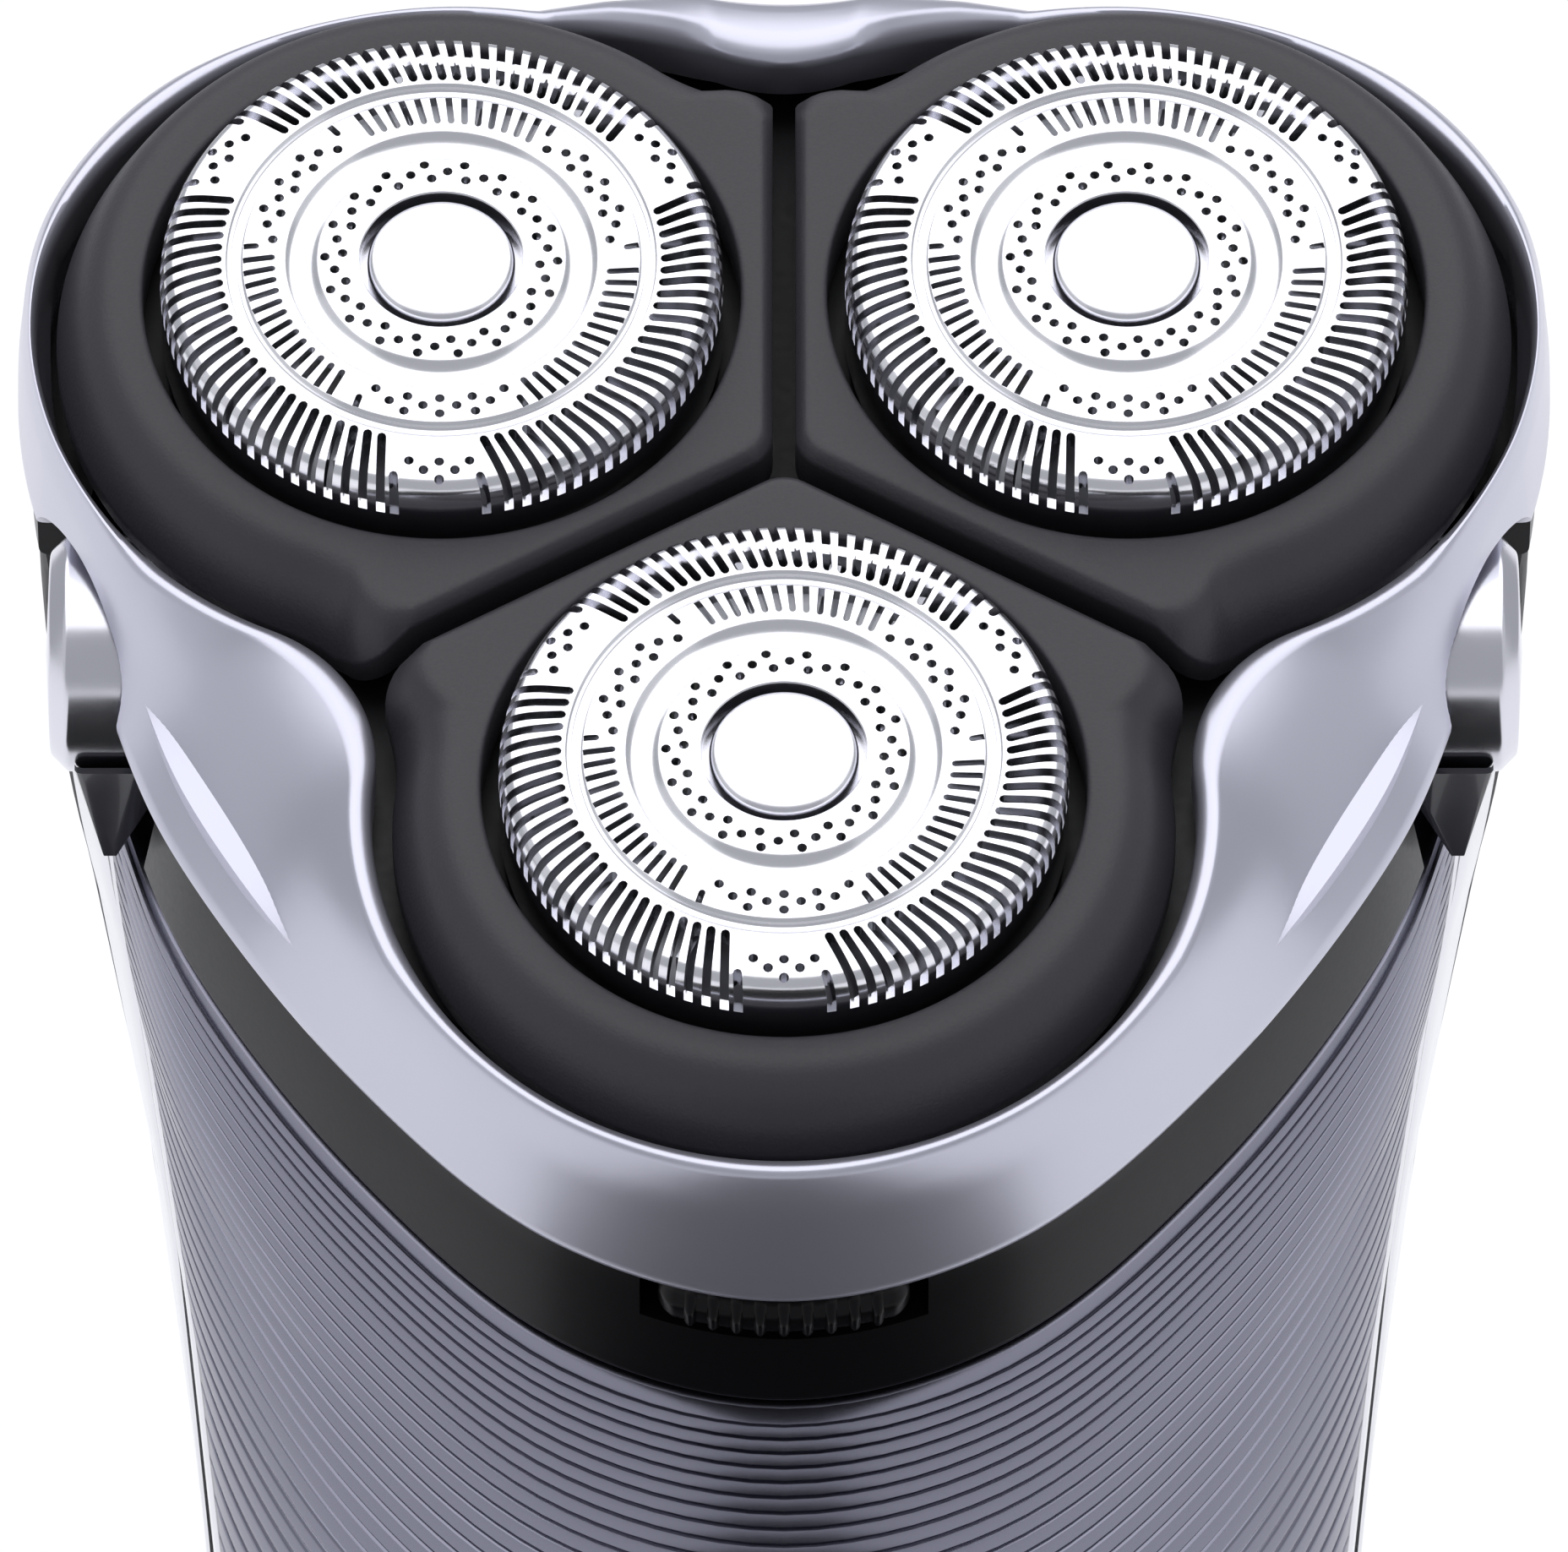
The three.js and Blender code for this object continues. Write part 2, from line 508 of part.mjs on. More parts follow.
// The carrier clears the collar in front and the barrels at the sides.
const carrierPlain = ring((angle) => {
  const outer = rimRadius(angle) - lerp(4.1, 3.1, clamp((Math.sin(angle) + 0.1) / 0.3, 0, 1));
  return [[0.6, -9.3], [outer, -9.3], [outer, -7.9], [0.6, -7.9]];
}, 48);
const carrierHoles = LOBE_ANGLES.map((angle) => disc(13.1, -12, -5, 32).translate(
  LOBE_PITCH * Math.cos(deg(angle)), LOBE_PITCH * Math.sin(deg(angle)), 0));
const barrelNotches = [[-31, -24.1], [24.1, 31]].map(
  ([from, to]) => rodAlongU(PIVOT.radius + 2 * GAP, from, to, PIVOT.v, PIVOT.w));
place(holder, 'carrier_plate', cut(carrierPlain, ...carrierHoles, ...barrelNotches), BLACK_PLASTIC);

// The skirt falls away on the outer side and is a small bevel beside the grooves.
function segmentSection(angle) {
  const full = segmentReach(angle, 0);
  const skirt = clamp((full - 14.2) / 1.2, 0, 1);
  const foot = lerp(-4.9, -6.4, skirt);
  const top = Math.max(segmentReach(angle, lerp(0.5, 2.1, skirt)), SEGMENT_BORE + 0.3);
  const shoulder = Math.max(segmentReach(angle, lerp(0.25, 1.1, skirt)), SEGMENT_BORE + 0.5);
  return [
    [SEGMENT_BORE, -4.9], [SEGMENT_BORE, SEGMENT_TOP], [top, SEGMENT_TOP],
    [shoulder, lerp(-2.4, -3.1, skirt)], [full, lerp(-2.8, -5.6, skirt)], [full, foot],
    [full - 1, foot], [Math.max(full - 1.6, SEGMENT_BORE + 0.1), -4.9],
  ];
}

const capProfile = [
  [0, -1.9], [3.3, -1.9], [3.3, 0], [10.6, 0], [CAP_RADIUS, -0.7], [CAP_RADIUS, -4.9],
  [10.7, -4.9], [10.7, -1.1], [10.3, -0.6], [3.8, -0.9], [3.8, -2.4], [0, -2.4],
];

const BLADES = 15;
function cutter() {
  const base = washer(5.6, 10.2, -4.3, -3.5, 24);
  const blades = Array.from({ length: BLADES }, (_, i) => box(3.8, 0.45, 2.6, 8, 0, -2.5)
    .rotateZ(i * 2 * Math.PI / BLADES));
  return join(base, ...blades);
}

function cutterHub() {
  return turned([
    [0, -5.9], [2.1, -5.9], [2.1, -9.5], [3.1, -9.5], [3.1, -6.1], [5.2, -6.1], [5.2, -4.6], [0, -4.6],
  ], 20);
}

LOBE_ANGLES.forEach((angle, i) => {
  const number = i + 1;
  const turn = new THREE.Group();
  turn.rotation.z = deg(angle);
  holder.add(turn);
  const lobe = new THREE.Group();
  lobe.position.x = LOBE_PITCH;
  turn.add(lobe);
  place(lobe, `segment_${number}`, ring(segmentSection, 60), GREY_MATTE);
  place(lobe, `retaining_ring_${number}`, washer(11, 12.6, -7.5, -6.6), BLACK_PLASTIC);
  place(lobe, `cap_${number}`, turned(capProfile, 36), CHROME);
  place(lobe, `cap_badge_${number}`, turned([[0, -1.5], [2.95, -1.5], [2.95, 0.05], [0, 0.25]], 24),
    STEEL);
  place(lobe, `cutter_${number}`, cutter(), STEEL);
  place(lobe, `cutter_hub_${number}`, cutterHub(), NYLON);
});

export default shaver;
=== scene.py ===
import json
import math

import bmesh
import bpy
import numpy
from mathutils import Matrix, Vector


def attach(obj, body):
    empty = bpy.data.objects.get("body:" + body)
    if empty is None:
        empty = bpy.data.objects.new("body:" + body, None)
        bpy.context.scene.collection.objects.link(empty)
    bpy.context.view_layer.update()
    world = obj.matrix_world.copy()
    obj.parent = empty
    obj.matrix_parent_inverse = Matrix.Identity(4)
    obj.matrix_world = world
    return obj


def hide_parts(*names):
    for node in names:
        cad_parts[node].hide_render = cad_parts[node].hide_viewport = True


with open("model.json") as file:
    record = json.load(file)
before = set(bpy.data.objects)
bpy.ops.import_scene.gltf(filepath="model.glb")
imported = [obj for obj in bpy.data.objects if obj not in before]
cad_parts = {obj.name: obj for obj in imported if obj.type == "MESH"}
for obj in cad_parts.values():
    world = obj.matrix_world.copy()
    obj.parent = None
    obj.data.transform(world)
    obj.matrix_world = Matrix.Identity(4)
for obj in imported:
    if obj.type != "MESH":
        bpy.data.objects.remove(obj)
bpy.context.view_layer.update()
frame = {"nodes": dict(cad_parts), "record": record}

# ---- Camera -----------------------------------------------------------------------------------
# A long lens looks down at the head from the front, close enough that the head fills the frame
# and the handle runs out of it at the bottom.
joints = {joint["name"]: joint for joint in frame["record"]["behaviour"]["joints"]}
MM = 0.001
SPIN_DEPTH = 4.0                                        # mm from the cap faces to the cutters' pivots
normal = Vector(joints["cutter_spin_1"]["axis"])
pivots = [Vector(joints[f"cutter_spin_{i}"]["pos_m"]) / MM for i in (1, 2, 3)]
head_centre = sum(pivots, Vector()) / 3 + normal * SPIN_DEPTH
head_tilt = math.atan2(-normal.y, normal.z)
HEAD = Matrix.Translation(head_centre) @ Matrix.Rotation(head_tilt, 4, "X")

VIEW_DOWN = math.radians(31)
VIEW_DISTANCE = 950.0
FRAME_WIDTH = 62.3                                      # mm seen across the frame at the head
AIM_BELOW = 14.1                                        # mm from the cap faces down to the frame's middle

view_up = Vector((0, math.sin(VIEW_DOWN), math.cos(VIEW_DOWN)))
view_back = Vector((0, -math.cos(VIEW_DOWN), math.sin(VIEW_DOWN)))
lens = bpy.data.cameras.new("camera")
lens.sensor_width = 36.0
lens.lens = lens.sensor_width * VIEW_DISTANCE / FRAME_WIDTH
lens.clip_end = 20.0
camera = bpy.data.objects.new("camera", lens)
camera.location = (head_centre - view_up * AIM_BELOW + view_back * VIEW_DISTANCE) * MM
camera.rotation_euler = (math.pi / 2 - VIEW_DOWN, 0, 0)
bpy.context.scene.collection.objects.link(camera)
bpy.context.scene.camera = camera


# ---- Floor and light --------------------------------------------------------------------------
# A matt white sweep of paper under a big overhead softbox, with two upright softboxes at the
# sides, as a small product is lit on a table.
def linear(hex_colour):
    """Turns an sRGB hex colour into the linear RGBA that the shader wants."""
    channels = [int(hex_colour[i:i + 2], 16) / 255 for i in (1, 3, 5)]
    return [c / 12.92 if c <= 0.04045 else ((c + 0.055) / 1.055) ** 2.4 for c in channels] + [1.0]


def add_node(tree, kind, settings=None, links=None):
    """Adds a node. Settings name its sockets or properties, links name sockets to join to it."""
    node = tree.nodes.new(kind)
    for name, value in (settings or {}).items():
        if isinstance(name, str) and hasattr(node, name):
            setattr(node, name, value)
        else:
            node.inputs[name].default_value = value
    for name, output in (links or {}).items():
        tree.links.new(output, node.inputs[name])
    return node


def new_material(name, colour, roughness, metallic=0.0, **sockets):
    """Starts a material and returns it with its tree and its principled shader."""
    material = bpy.data.materials.new(name)
    material.use_nodes = True
    shader = material.node_tree.nodes["Principled BSDF"]
    shader.inputs["Base Color"].default_value = linear(colour)
    shader.inputs["Roughness"].default_value = roughness
    shader.inputs["Metallic"].default_value = metallic
    for socket, value in sockets.items():
        shader.inputs[socket.replace("_", " ")].default_value = value
    return material, material.node_tree, shader


def noise(tree, size, detail=2.0):
    """Adds noise with a grain of the given size in mm, fixed to the piece."""
    place = add_node(tree, "ShaderNodeTexCoord")
    return add_node(tree, "ShaderNodeTexNoise", {"Scale": 1 / (size * MM), "Detail": detail},
                    {"Vector": place.outputs["Object"]})


def vary_roughness(tree, shader, pattern, low, high):
    spread = add_node(tree, "ShaderNodeMapRange", {"To Min": low, "To Max": high},
                      {"Value": pattern.outputs[0]})
    tree.links.new(spread.outputs[0], shader.inputs["Roughness"])


def emboss(tree, shader, pattern, strength, depth):
    """Raises a pattern as a bump, depth mm high."""
    bump = add_node(tree, "ShaderNodeBump", {"Strength": strength, "Distance": depth * MM},
                    {"Height": pattern.outputs[0]})
    tree.links.new(bump.outputs[0], shader.inputs["Normal"])


def tint(tree, shader, factor, first, second):
    """Mixes two colours into the base colour by a factor."""
    mixed = add_node(tree, "ShaderNodeMix", {"data_type": "RGBA", "A": linear(first), "B": linear(second)},
                     {"Factor": factor})
    tree.links.new(mixed.outputs["Result"], shader.inputs["Base Color"])


# Paper: matt fibre with a faint tooth, a few tenths of a millimetre across.
PAPER_TOOTH = 0.4
paper, tree, shader = new_material("paper_matt_white", "#F6F6F7", 0.9)
emboss(tree, shader, noise(tree, PAPER_TOOTH), 0.15, 0.05)

FLOOR_HALF = 3.0
floor_mesh = bpy.data.meshes.new("floor")
floor_mesh.from_pydata([(x, y, 0) for x, y in ((-1, -1), (1, -1), (1, 1), (-1, 1))], [], [(0, 1, 2, 3)])
floor_mesh.transform(Matrix.Scale(FLOOR_HALF, 4))
floor_mesh.materials.append(paper)
floor = bpy.data.objects.new("floor", floor_mesh)
bpy.context.scene.collection.objects.link(floor)

# Each softbox: its place, what it faces, its size in metres and its power in watts.
SOFTBOXES = {
    "top": ((0.0, 0.2, 1.3), (2.4, 2.4), 23.0),
    "left": ((-1.3, -0.5, 0.6), (1.2, 1.4), 1.1),
    "right": ((1.3, -0.5, 0.6), (1.2, 1.4), 1.1),
}
for side, (place, size, power) in SOFTBOXES.items():
    light = bpy.data.lights.new(f"softbox_{side}", "AREA")
    light.shape = "RECTANGLE"
    light.size, light.size_y = size
    light.energy = power
    softbox = bpy.data.objects.new(f"softbox_{side}", light)
    softbox.location = place
    target = head_centre * MM
    softbox.rotation_euler = (target - Vector(place)).to_track_quat("-Z", "Y").to_euler()
    bpy.context.scene.collection.objects.link(softbox)

WORLD_STRENGTH = 0.55
world = bpy.data.worlds.new("studio")
world.use_nodes = True
world.node_tree.nodes["Background"].inputs["Color"].default_value = linear("#E4E6EC")
world.node_tree.nodes["Background"].inputs["Strength"].default_value = WORLD_STRENGTH
bpy.context.scene.world = world
bpy.context.scene.view_settings.view_transform = "Standard"

# A black card lies in front of the handle, out of sight, and keeps the paper's white out of the
# polished and lacquered front.
CARD_HALF, CARD_FAR, CARD_NEAR, CARD_LIFT = 0.11, -0.6, -0.022, 0.0005      # metres
card_black = new_material("card_matt_black", "#0A0A0A", 0.9)[0]
card_mesh = bpy.data.meshes.new("card")
card_mesh.from_pydata([(-CARD_HALF, CARD_FAR, CARD_LIFT), (CARD_HALF, CARD_FAR, CARD_LIFT),
                       (CARD_HALF, CARD_NEAR, CARD_LIFT), (-CARD_HALF, CARD_NEAR, CARD_LIFT)],
                      [], [(0, 1, 2, 3)])
card_mesh.materials.append(card_black)
card = bpy.data.objects.new("card", card_mesh)
bpy.context.scene.collection.objects.link(card)
card.visible_camera = False
card.visible_diffuse = False
card.visible_shadow = False


# ---- Silver head frame ------------------------------------------------------------------------
# The frame round the three heads is moulded plastic with a vacuum-laid metal coat under satin
# lacquer. It snaps onto the black carrier and opens on a pin at the back.
def linked_object(name, mesh):
    piece = bpy.data.objects.new(name, mesh)
    bpy.context.scene.collection.objects.link(piece)
    return piece


def finish_piece(name, mesh, material, body, replaced, sharp=35):
    """Shades a mesh, links it as an object on its body, and hides the CAD parts that it replaces."""
    mesh.materials.clear()
    mesh.materials.append(material)
    mesh.shade_smooth()
    mesh.set_sharp_from_angle(angle=math.radians(sharp))
    piece = linked_object(name, mesh)
    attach(piece, body)
    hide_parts(*replaced)
    return piece


MERGE_WITHIN, SHORTEST_EDGE = 0.0005, 0.0001            # mm


def facing_out(mesh, merge=False):
    """Turns a closed mesh's faces outward, and first merges points that coincide if asked."""
    shell = bmesh.new()
    shell.from_mesh(mesh)
    if merge:
        bmesh.ops.remove_doubles(shell, verts=shell.verts, dist=MERGE_WITHIN * MM)
        bmesh.ops.dissolve_degenerate(shell, edges=shell.edges, dist=SHORTEST_EDGE * MM)
    bmesh.ops.recalc_face_normals(shell, faces=shell.faces)
    shell.to_mesh(mesh)
    shell.free()
    return mesh


def evaluated_mesh(piece):
    """The plain mesh of an object with its modifiers applied."""
    bpy.context.view_layer.update()
    return bpy.data.meshes.new_from_object(
        piece.evaluated_get(bpy.context.evaluated_depsgraph_get()))


def loft(name, sections, closed, placed=Matrix()):
    """Skins sections of equal counts, in mm, into a closed mesh that is placed in metres."""
    count = len(sections[0])
    points = [placed @ Vector(point) * MM for section in sections for point in section]
    faces = []
    for i in range(len(sections) if closed else len(sections) - 1):
        here, there = i * count, (i + 1) % len(sections) * count
        faces += [(here + j, there + j, there + (j + 1) % count, here + (j + 1) % count)
                  for j in range(count)]
    if not closed:
        faces += [tuple(range(count)), tuple(reversed(range(len(points) - count, len(points))))]
    mesh = bpy.data.meshes.new(name)
    mesh.from_pydata(points, [], faces)
    return facing_out(mesh, True)


def ring(name, section_at, steps, start=0.0, end=360.0, placed=HEAD):
    """Lofts the section (radius, height) that belongs to each direction about the head's normal."""
    closed = end - start == 360.0
    sections = []
    for i in range(steps if closed else steps + 1):
        angle = math.radians(start + (end - start) * i / steps)
        sections.append([(r * math.cos(angle), r * math.sin(angle), w) for r, w in section_at(angle)])
    return loft(name, sections, closed, placed)


def rounded(corners, steps=4):
    """Turns corners (radius, height, rounding) into an outline whose corners are small curves."""
    outline = []
    for i, (r, w, rounding) in enumerate(corners):
        here = Vector((r, w))
        if not rounding:
            outline.append(here)
            continue
        arms = []
        for other in (corners[i - 1], corners[(i + 1) % len(corners)]):
            arm = Vector(other[:2]) - here
            arms.append(here + arm.normalized() * min(rounding, arm.length * 0.45))
        for k in range(steps + 1):
            t = k / steps
            outline.append(arms[0] * (1 - t) ** 2 + here * 2 * t * (1 - t) + arms[1] * t ** 2)
    return outline


def mix(a, b, t):
    return a + (b - a) * min(max(t, 0.0), 1.0)


def spline(points, i, t):
    """A point of the centripetal Catmull-Rom curve through points, t of the way from i to the next."""
    p0, p1, p2, p3 = (points[(i + k) % len(points)] for k in (-1, 0, 1, 2))
    d0, d1, d2 = (math.sqrt((b - a).length) for a, b in ((p0, p1), (p1, p2), (p2, p3)))
    start = ((p1 - p0) / d0 - (p2 - p0) / (d0 + d1) + (p2 - p1) / d1) * d1
    end = ((p2 - p1) / d1 - (p3 - p1) / (d1 + d2) + (p3 - p2) / d2) * d1
    return (p1 + start * t + (3 * (p2 - p1) - 2 * start - end) * t ** 2
            + (2 * (p1 - p2) + start + end) * t ** 3)


def combine(name, mesh, tools, operation):
    """Joins tools to a mesh or cuts them from it, and returns the result as a plain mesh."""
    body = linked_object(name, mesh)
    helpers = [body]
    for tool in tools:
        helpers.append(linked_object("tool", tool))
        step = body.modifiers.new("step", "BOOLEAN")
        step.operation = operation
        step.solver = "EXACT"
        step.object = helpers[-1]
    result = evaluated_mesh(body)
    for helper in helpers:
        bpy.data.objects.remove(helper)
    return result


def turned(name, profile, placed, steps=96):
    """Turns a profile of (radius, height) about the local Z axis."""
    return ring(name, lambda angle: profile, steps, placed=placed)


def rod(name, radius, low, high, placed, steps=48):
    return turned(name, [(0, low), (radius, low), (radius, high), (0, high)], placed, steps)


def across(v, w, side=1):
    """Places a turned piece with its axis along the head's width, through (v, w)."""
    return HEAD @ Matrix.Translation((0, v, w)) @ Matrix.Rotation(side * math.pi / 2, 4, "Y")


LOBES = {1: 30.0, 2: 150.0, 3: 270.0}                   # direction of each head, degrees
LOBE_PITCH = 15.8
LOBE_RADIUS = 15.5
VALLEY_RADIUS = 7.55
VALLEY_CENTRE = 26.45
MEETING = math.radians(96.4)                            # where a lobe's arc meets the valley's
RIM_LOW = -10.9
PIVOT_V, PIVOT_W, BARREL_RADIUS = -2.56, -12.6, 4.75
HINGE_V, HINGE_W, HINGE_RADIUS, PIN_RADIUS = 24.4, -12.3, 1.9, 0.9
KNUCKLE_IN, KNUCKLE_OUT, LUG_HALF = 4.3, 7.6, 3.9
GAP = 0.3
ARCH_RADIUS = BARREL_RADIUS + 0.7
RIM = [(0, -34.9), (9, -32.2), (17.7, -23.9), (24.8, -13.2), (27.3, -6.3), (28.6, -1.5), (30.2, 2.8),
       (30.9, 7.8), (30.2, 15.3), (25.6, 22), (16.2, 25.5), (8, 25.8), (0, 25.5)]

rim_loop = [Vector(p) for p in RIM] + [Vector((-u, v)) for u, v in reversed(RIM[1:-1])]
rim_curve = [spline(rim_loop, i, k / 24) for i in range(len(rim_loop)) for k in range(24)]
rim_angles = [math.atan2(p.y, p.x) for p in rim_curve]
rim_lengths = [p.length for p in rim_curve]


def rim_radius(angle):
    return float(numpy.interp(angle, rim_angles, rim_lengths, period=2 * math.pi))


def trefoil_radius(angle, offset):
    """The three-lobed outline that the black segments fill, let out by offset."""
    third = 2 * math.pi / 3
    off_lobe = abs((angle - math.radians(LOBES[1]) + third / 2) % third - third / 2)
    lobe = LOBE_RADIUS + offset
    meets = math.atan2(lobe * math.sin(MEETING), LOBE_PITCH + lobe * math.cos(MEETING))
    if off_lobe < meets:
        return LOBE_PITCH * math.cos(off_lobe) + math.sqrt(lobe ** 2 - (LOBE_PITCH * math.sin(off_lobe)) ** 2)
    off_valley = third / 2 - off_lobe
    hollow = (VALLEY_RADIUS - offset) ** 2 - (VALLEY_CENTRE * math.sin(off_valley)) ** 2
    return VALLEY_CENTRE * math.cos(off_valley) - math.sqrt(hollow)


def frame_section(angle):
    """The frame drops behind the rear heads, stands up between them and arches over the barrels."""
    rim, lip = rim_radius(angle), trefoil_radius(angle, 0.8)
    v = rim * math.sin(angle)
    back = min(max((v - 4) / 18, 0.0), 1.0)
    back = back * back * (3 - 2 * back)
    valley = 1 - min(max((lip - 20.5) / 5, 0.0), 1.0)
    crown = lip + min(1.0, (rim - lip) * 0.3)
    crown_w = mix(-3.9, mix(-6, -2.6, valley), back)
    crease = mix(crown, rim, mix(0.42, 0.58, back))
    crease_w = mix(-5.6, mix(-7, -3.6, valley), back)
    inner_w = max(-8.4, RIM_LOW + 0.1)
    return rounded([
        (lip, crown_w - 2.6, 0), (lip, crown_w - 0.5, 0.4), (crown, crown_w, 0.5),
        (crease, crease_w, (rim - lip) * 0.4), (rim, RIM_LOW, 0.9),
        (rim - 1.3, RIM_LOW, 0.2), (rim - 1.3, inner_w, 0),
        (min(crease - 0.6, rim - 1.5), max(crease_w - 1.8, -7.8), 0)])


# Vacuum-metallised ABS under satin lacquer: a cool silver that spreads its highlights softly,
# with a faint cloudiness in the coat and a fine orange-peel ripple.
LACQUER_RIPPLE = 0.5                                    # mm from crest to crest
LACQUER_CLOUD = 6.0
silver, tree, shader = new_material("metallised_abs_satin_lacquer", "#C6C6D4", 0.3, 0.85,
                                    Coat_Weight=0.25, Coat_Roughness=0.25)
ripple = noise(tree, LACQUER_RIPPLE, 3.0)
emboss(tree, shader, ripple, 0.12, 0.02)
cloud = noise(tree, LACQUER_CLOUD)
vary_roughness(tree, shader, cloud, 0.27, 0.34)

hinge_line = across(HINGE_V, HINGE_W)
frame_mesh = ring("head_frame", frame_section, 480)
frame_mesh = combine("head_frame", frame_mesh,
                     [rod("notch", HINGE_RADIUS + GAP, -KNUCKLE_OUT - GAP, KNUCKLE_OUT + GAP, hinge_line),
                      rod("arch", ARCH_RADIUS, 20, 34, across(PIVOT_V, PIVOT_W), 96),
                      rod("arch", ARCH_RADIUS, 20, 34, across(PIVOT_V, PIVOT_W, -1), 96)],
                     "DIFFERENCE")
lug = rounded([(PIN_RADIUS + GAP, -LUG_HALF, 0), (HINGE_RADIUS, -LUG_HALF, 0.3),
               (HINGE_RADIUS, LUG_HALF, 0.3), (PIN_RADIUS + GAP, LUG_HALF, 0)])
web_section = [(HINGE_V - 1.05, HINGE_W + 1.0), (HINGE_V + 0.25, HINGE_W + 1.0),
               (HINGE_V + 0.1, HINGE_W + 5.3), (HINGE_V - 1.0, HINGE_W + 5.3)]
web = loft("web", [[(u, v, w) for v, w in web_section] for u in (-LUG_HALF, LUG_HALF)], False, HEAD)
frame_mesh = combine("head_frame", frame_mesh, [turned("lug", lug, hinge_line), web], "UNION")
finish_piece("silver_head_frame", frame_mesh, silver, "head", ["head_frame"])


# ---- Black head segments ----------------------------------------------------------------------
# One rounded plastic block per head, moulded in a matt dark grey with a fine spark texture. The
# three meet in narrow grooves, each block tips a little in the frame, and its edges are bevelled.
GROOVE_HALF = 0.45
SEGMENT_BORE = 11.95
SEGMENT_TOP = -2.2


def lobe_frame(i):
    """Places a piece that is drawn about its own head's axis, with +X pointing outward."""
    turn = Matrix.Rotation(math.radians(LOBES[i]), 4, "Z")
    return HEAD @ turn @ Matrix.Translation((LOBE_PITCH, 0, 0))


def inside_segment(u, v, inset):
    """Whether a point in a lobe's own frame lies inside its segment, drawn in by inset."""
    if (u + LOBE_PITCH) * math.sin(math.pi / 3) - abs(v) * math.cos(math.pi / 3) < GROOVE_HALF + inset:
        return False
    outward = math.radians(LOBES[1]) + math.atan2(v, u + LOBE_PITCH)
    return math.hypot(u + LOBE_PITCH, v) < trefoil_radius(outward, -inset)


def segment_reaches(inset, steps):
    """How far the block reaches in each direction about its head, with its corners eased."""
    reaches = []
    for k in range(steps):
        angle = 2 * math.pi * k / steps
        low, high = 9.0, 24.0
        while high - low > 0.002:
            middle = (low + high) / 2
            if inside_segment(middle * math.cos(angle), middle * math.sin(angle), inset):
                low = middle
            else:
                high = middle
        reaches.append(low)
    ease = range(-3, 4)
    return [min(reaches[k], sum(reaches[(k + e) % steps] for e in ease) / len(ease)) for k in range(steps)]


SEGMENT_STEPS = 360
SEGMENT_INSETS = (0, 0.25, 0.5, 1.1, 2.1)
segment_tables = {inset: segment_reaches(inset, SEGMENT_STEPS) for inset in SEGMENT_INSETS}
SKIRT_BLEND = 5
beside_groove = []
for k in range(SEGMENT_STEPS):
    angle, reach = 2 * math.pi * k / SEGMENT_STEPS, segment_tables[0][k] + 0.1
    across_groove = ((LOBE_PITCH + reach * math.cos(angle)) * math.sin(math.pi / 3)
                     - abs(reach * math.sin(angle)) * math.cos(math.pi / 3))
    beside_groove.append(1.0 if across_groove < GROOVE_HALF + 0.25 else 0.0)
skirt_table = [1 - sum(beside_groove[(k + e) % SEGMENT_STEPS] for e in range(-SKIRT_BLEND, SKIRT_BLEND + 1))
               / (2 * SKIRT_BLEND + 1) for k in range(SEGMENT_STEPS)]


def segment_section(angle):
    k = round(math.degrees(angle) * SEGMENT_STEPS / 360) % SEGMENT_STEPS
    full = segment_tables[0][k]
    skirt = skirt_table[k]
    shoulder = mix(segment_tables[0.25][k], segment_tables[1.1][k], skirt)
    top = mix(segment_tables[0.5][k], segment_tables[2.1][k], skirt)
    foot = mix(-4.9, -6.4, skirt)
    return rounded([
        (SEGMENT_BORE, SEGMENT_TOP, 0.25), (max(top, SEGMENT_BORE + 0.3), SEGMENT_TOP, 0.3 + skirt * 0.5),
        (max(shoulder, SEGMENT_BORE + 0.5), mix(-2.4, -3.1, skirt), 0.3 + skirt * 0.6),
        (max(full, SEGMENT_BORE + 0.7), mix(-2.8, -5.6, skirt), 0.15),
        (max(full, SEGMENT_BORE + 0.7), foot, 0.1), (max(full, SEGMENT_BORE + 0.7) - 0.6, foot, 0),
        (SEGMENT_BORE + 0.05, -4.9, 0)], 5)


# Spark-eroded matt ABS: dark warm-neutral grey with a fine pitted grain that breaks up the
# highlight into tiny points.
SPARK_GRAIN = 0.14
segment_grey, tree, shader = new_material("spark_textured_abs_grey", "#2F2E33", 0.5)
grain = noise(tree, SPARK_GRAIN, 3.0)
emboss(tree, shader, grain, 0.5, 0.03)
vary_roughness(tree, shader, grain, 0.42, 0.6)

for i in LOBES:
    mesh = ring("segment", segment_section, SEGMENT_STEPS, placed=lobe_frame(i))
    finish_piece(f"grey_segment_{i}", mesh, segment_grey, f"segment_{i}",
                 [f"segment_{i}"], 28)


# ---- Guard caps -------------------------------------------------------------------------------
# Each guard is a thin stamped and polished steel cap. Hair enters through long slots that wrap
# over the shoulder, a ring of short slots, and small round holes. A steel disc closes the middle.
CAP_RADIUS = 11.25
CAP_STEPS = 288
OUTER_SLOTS, INNER_SLOTS, RING_DOTS = 96, 78, 18
SLOT_WIDTH, SHORT_SLOT_WIDTH, DOT_RADIUS = 0.36, 0.27, 0.2


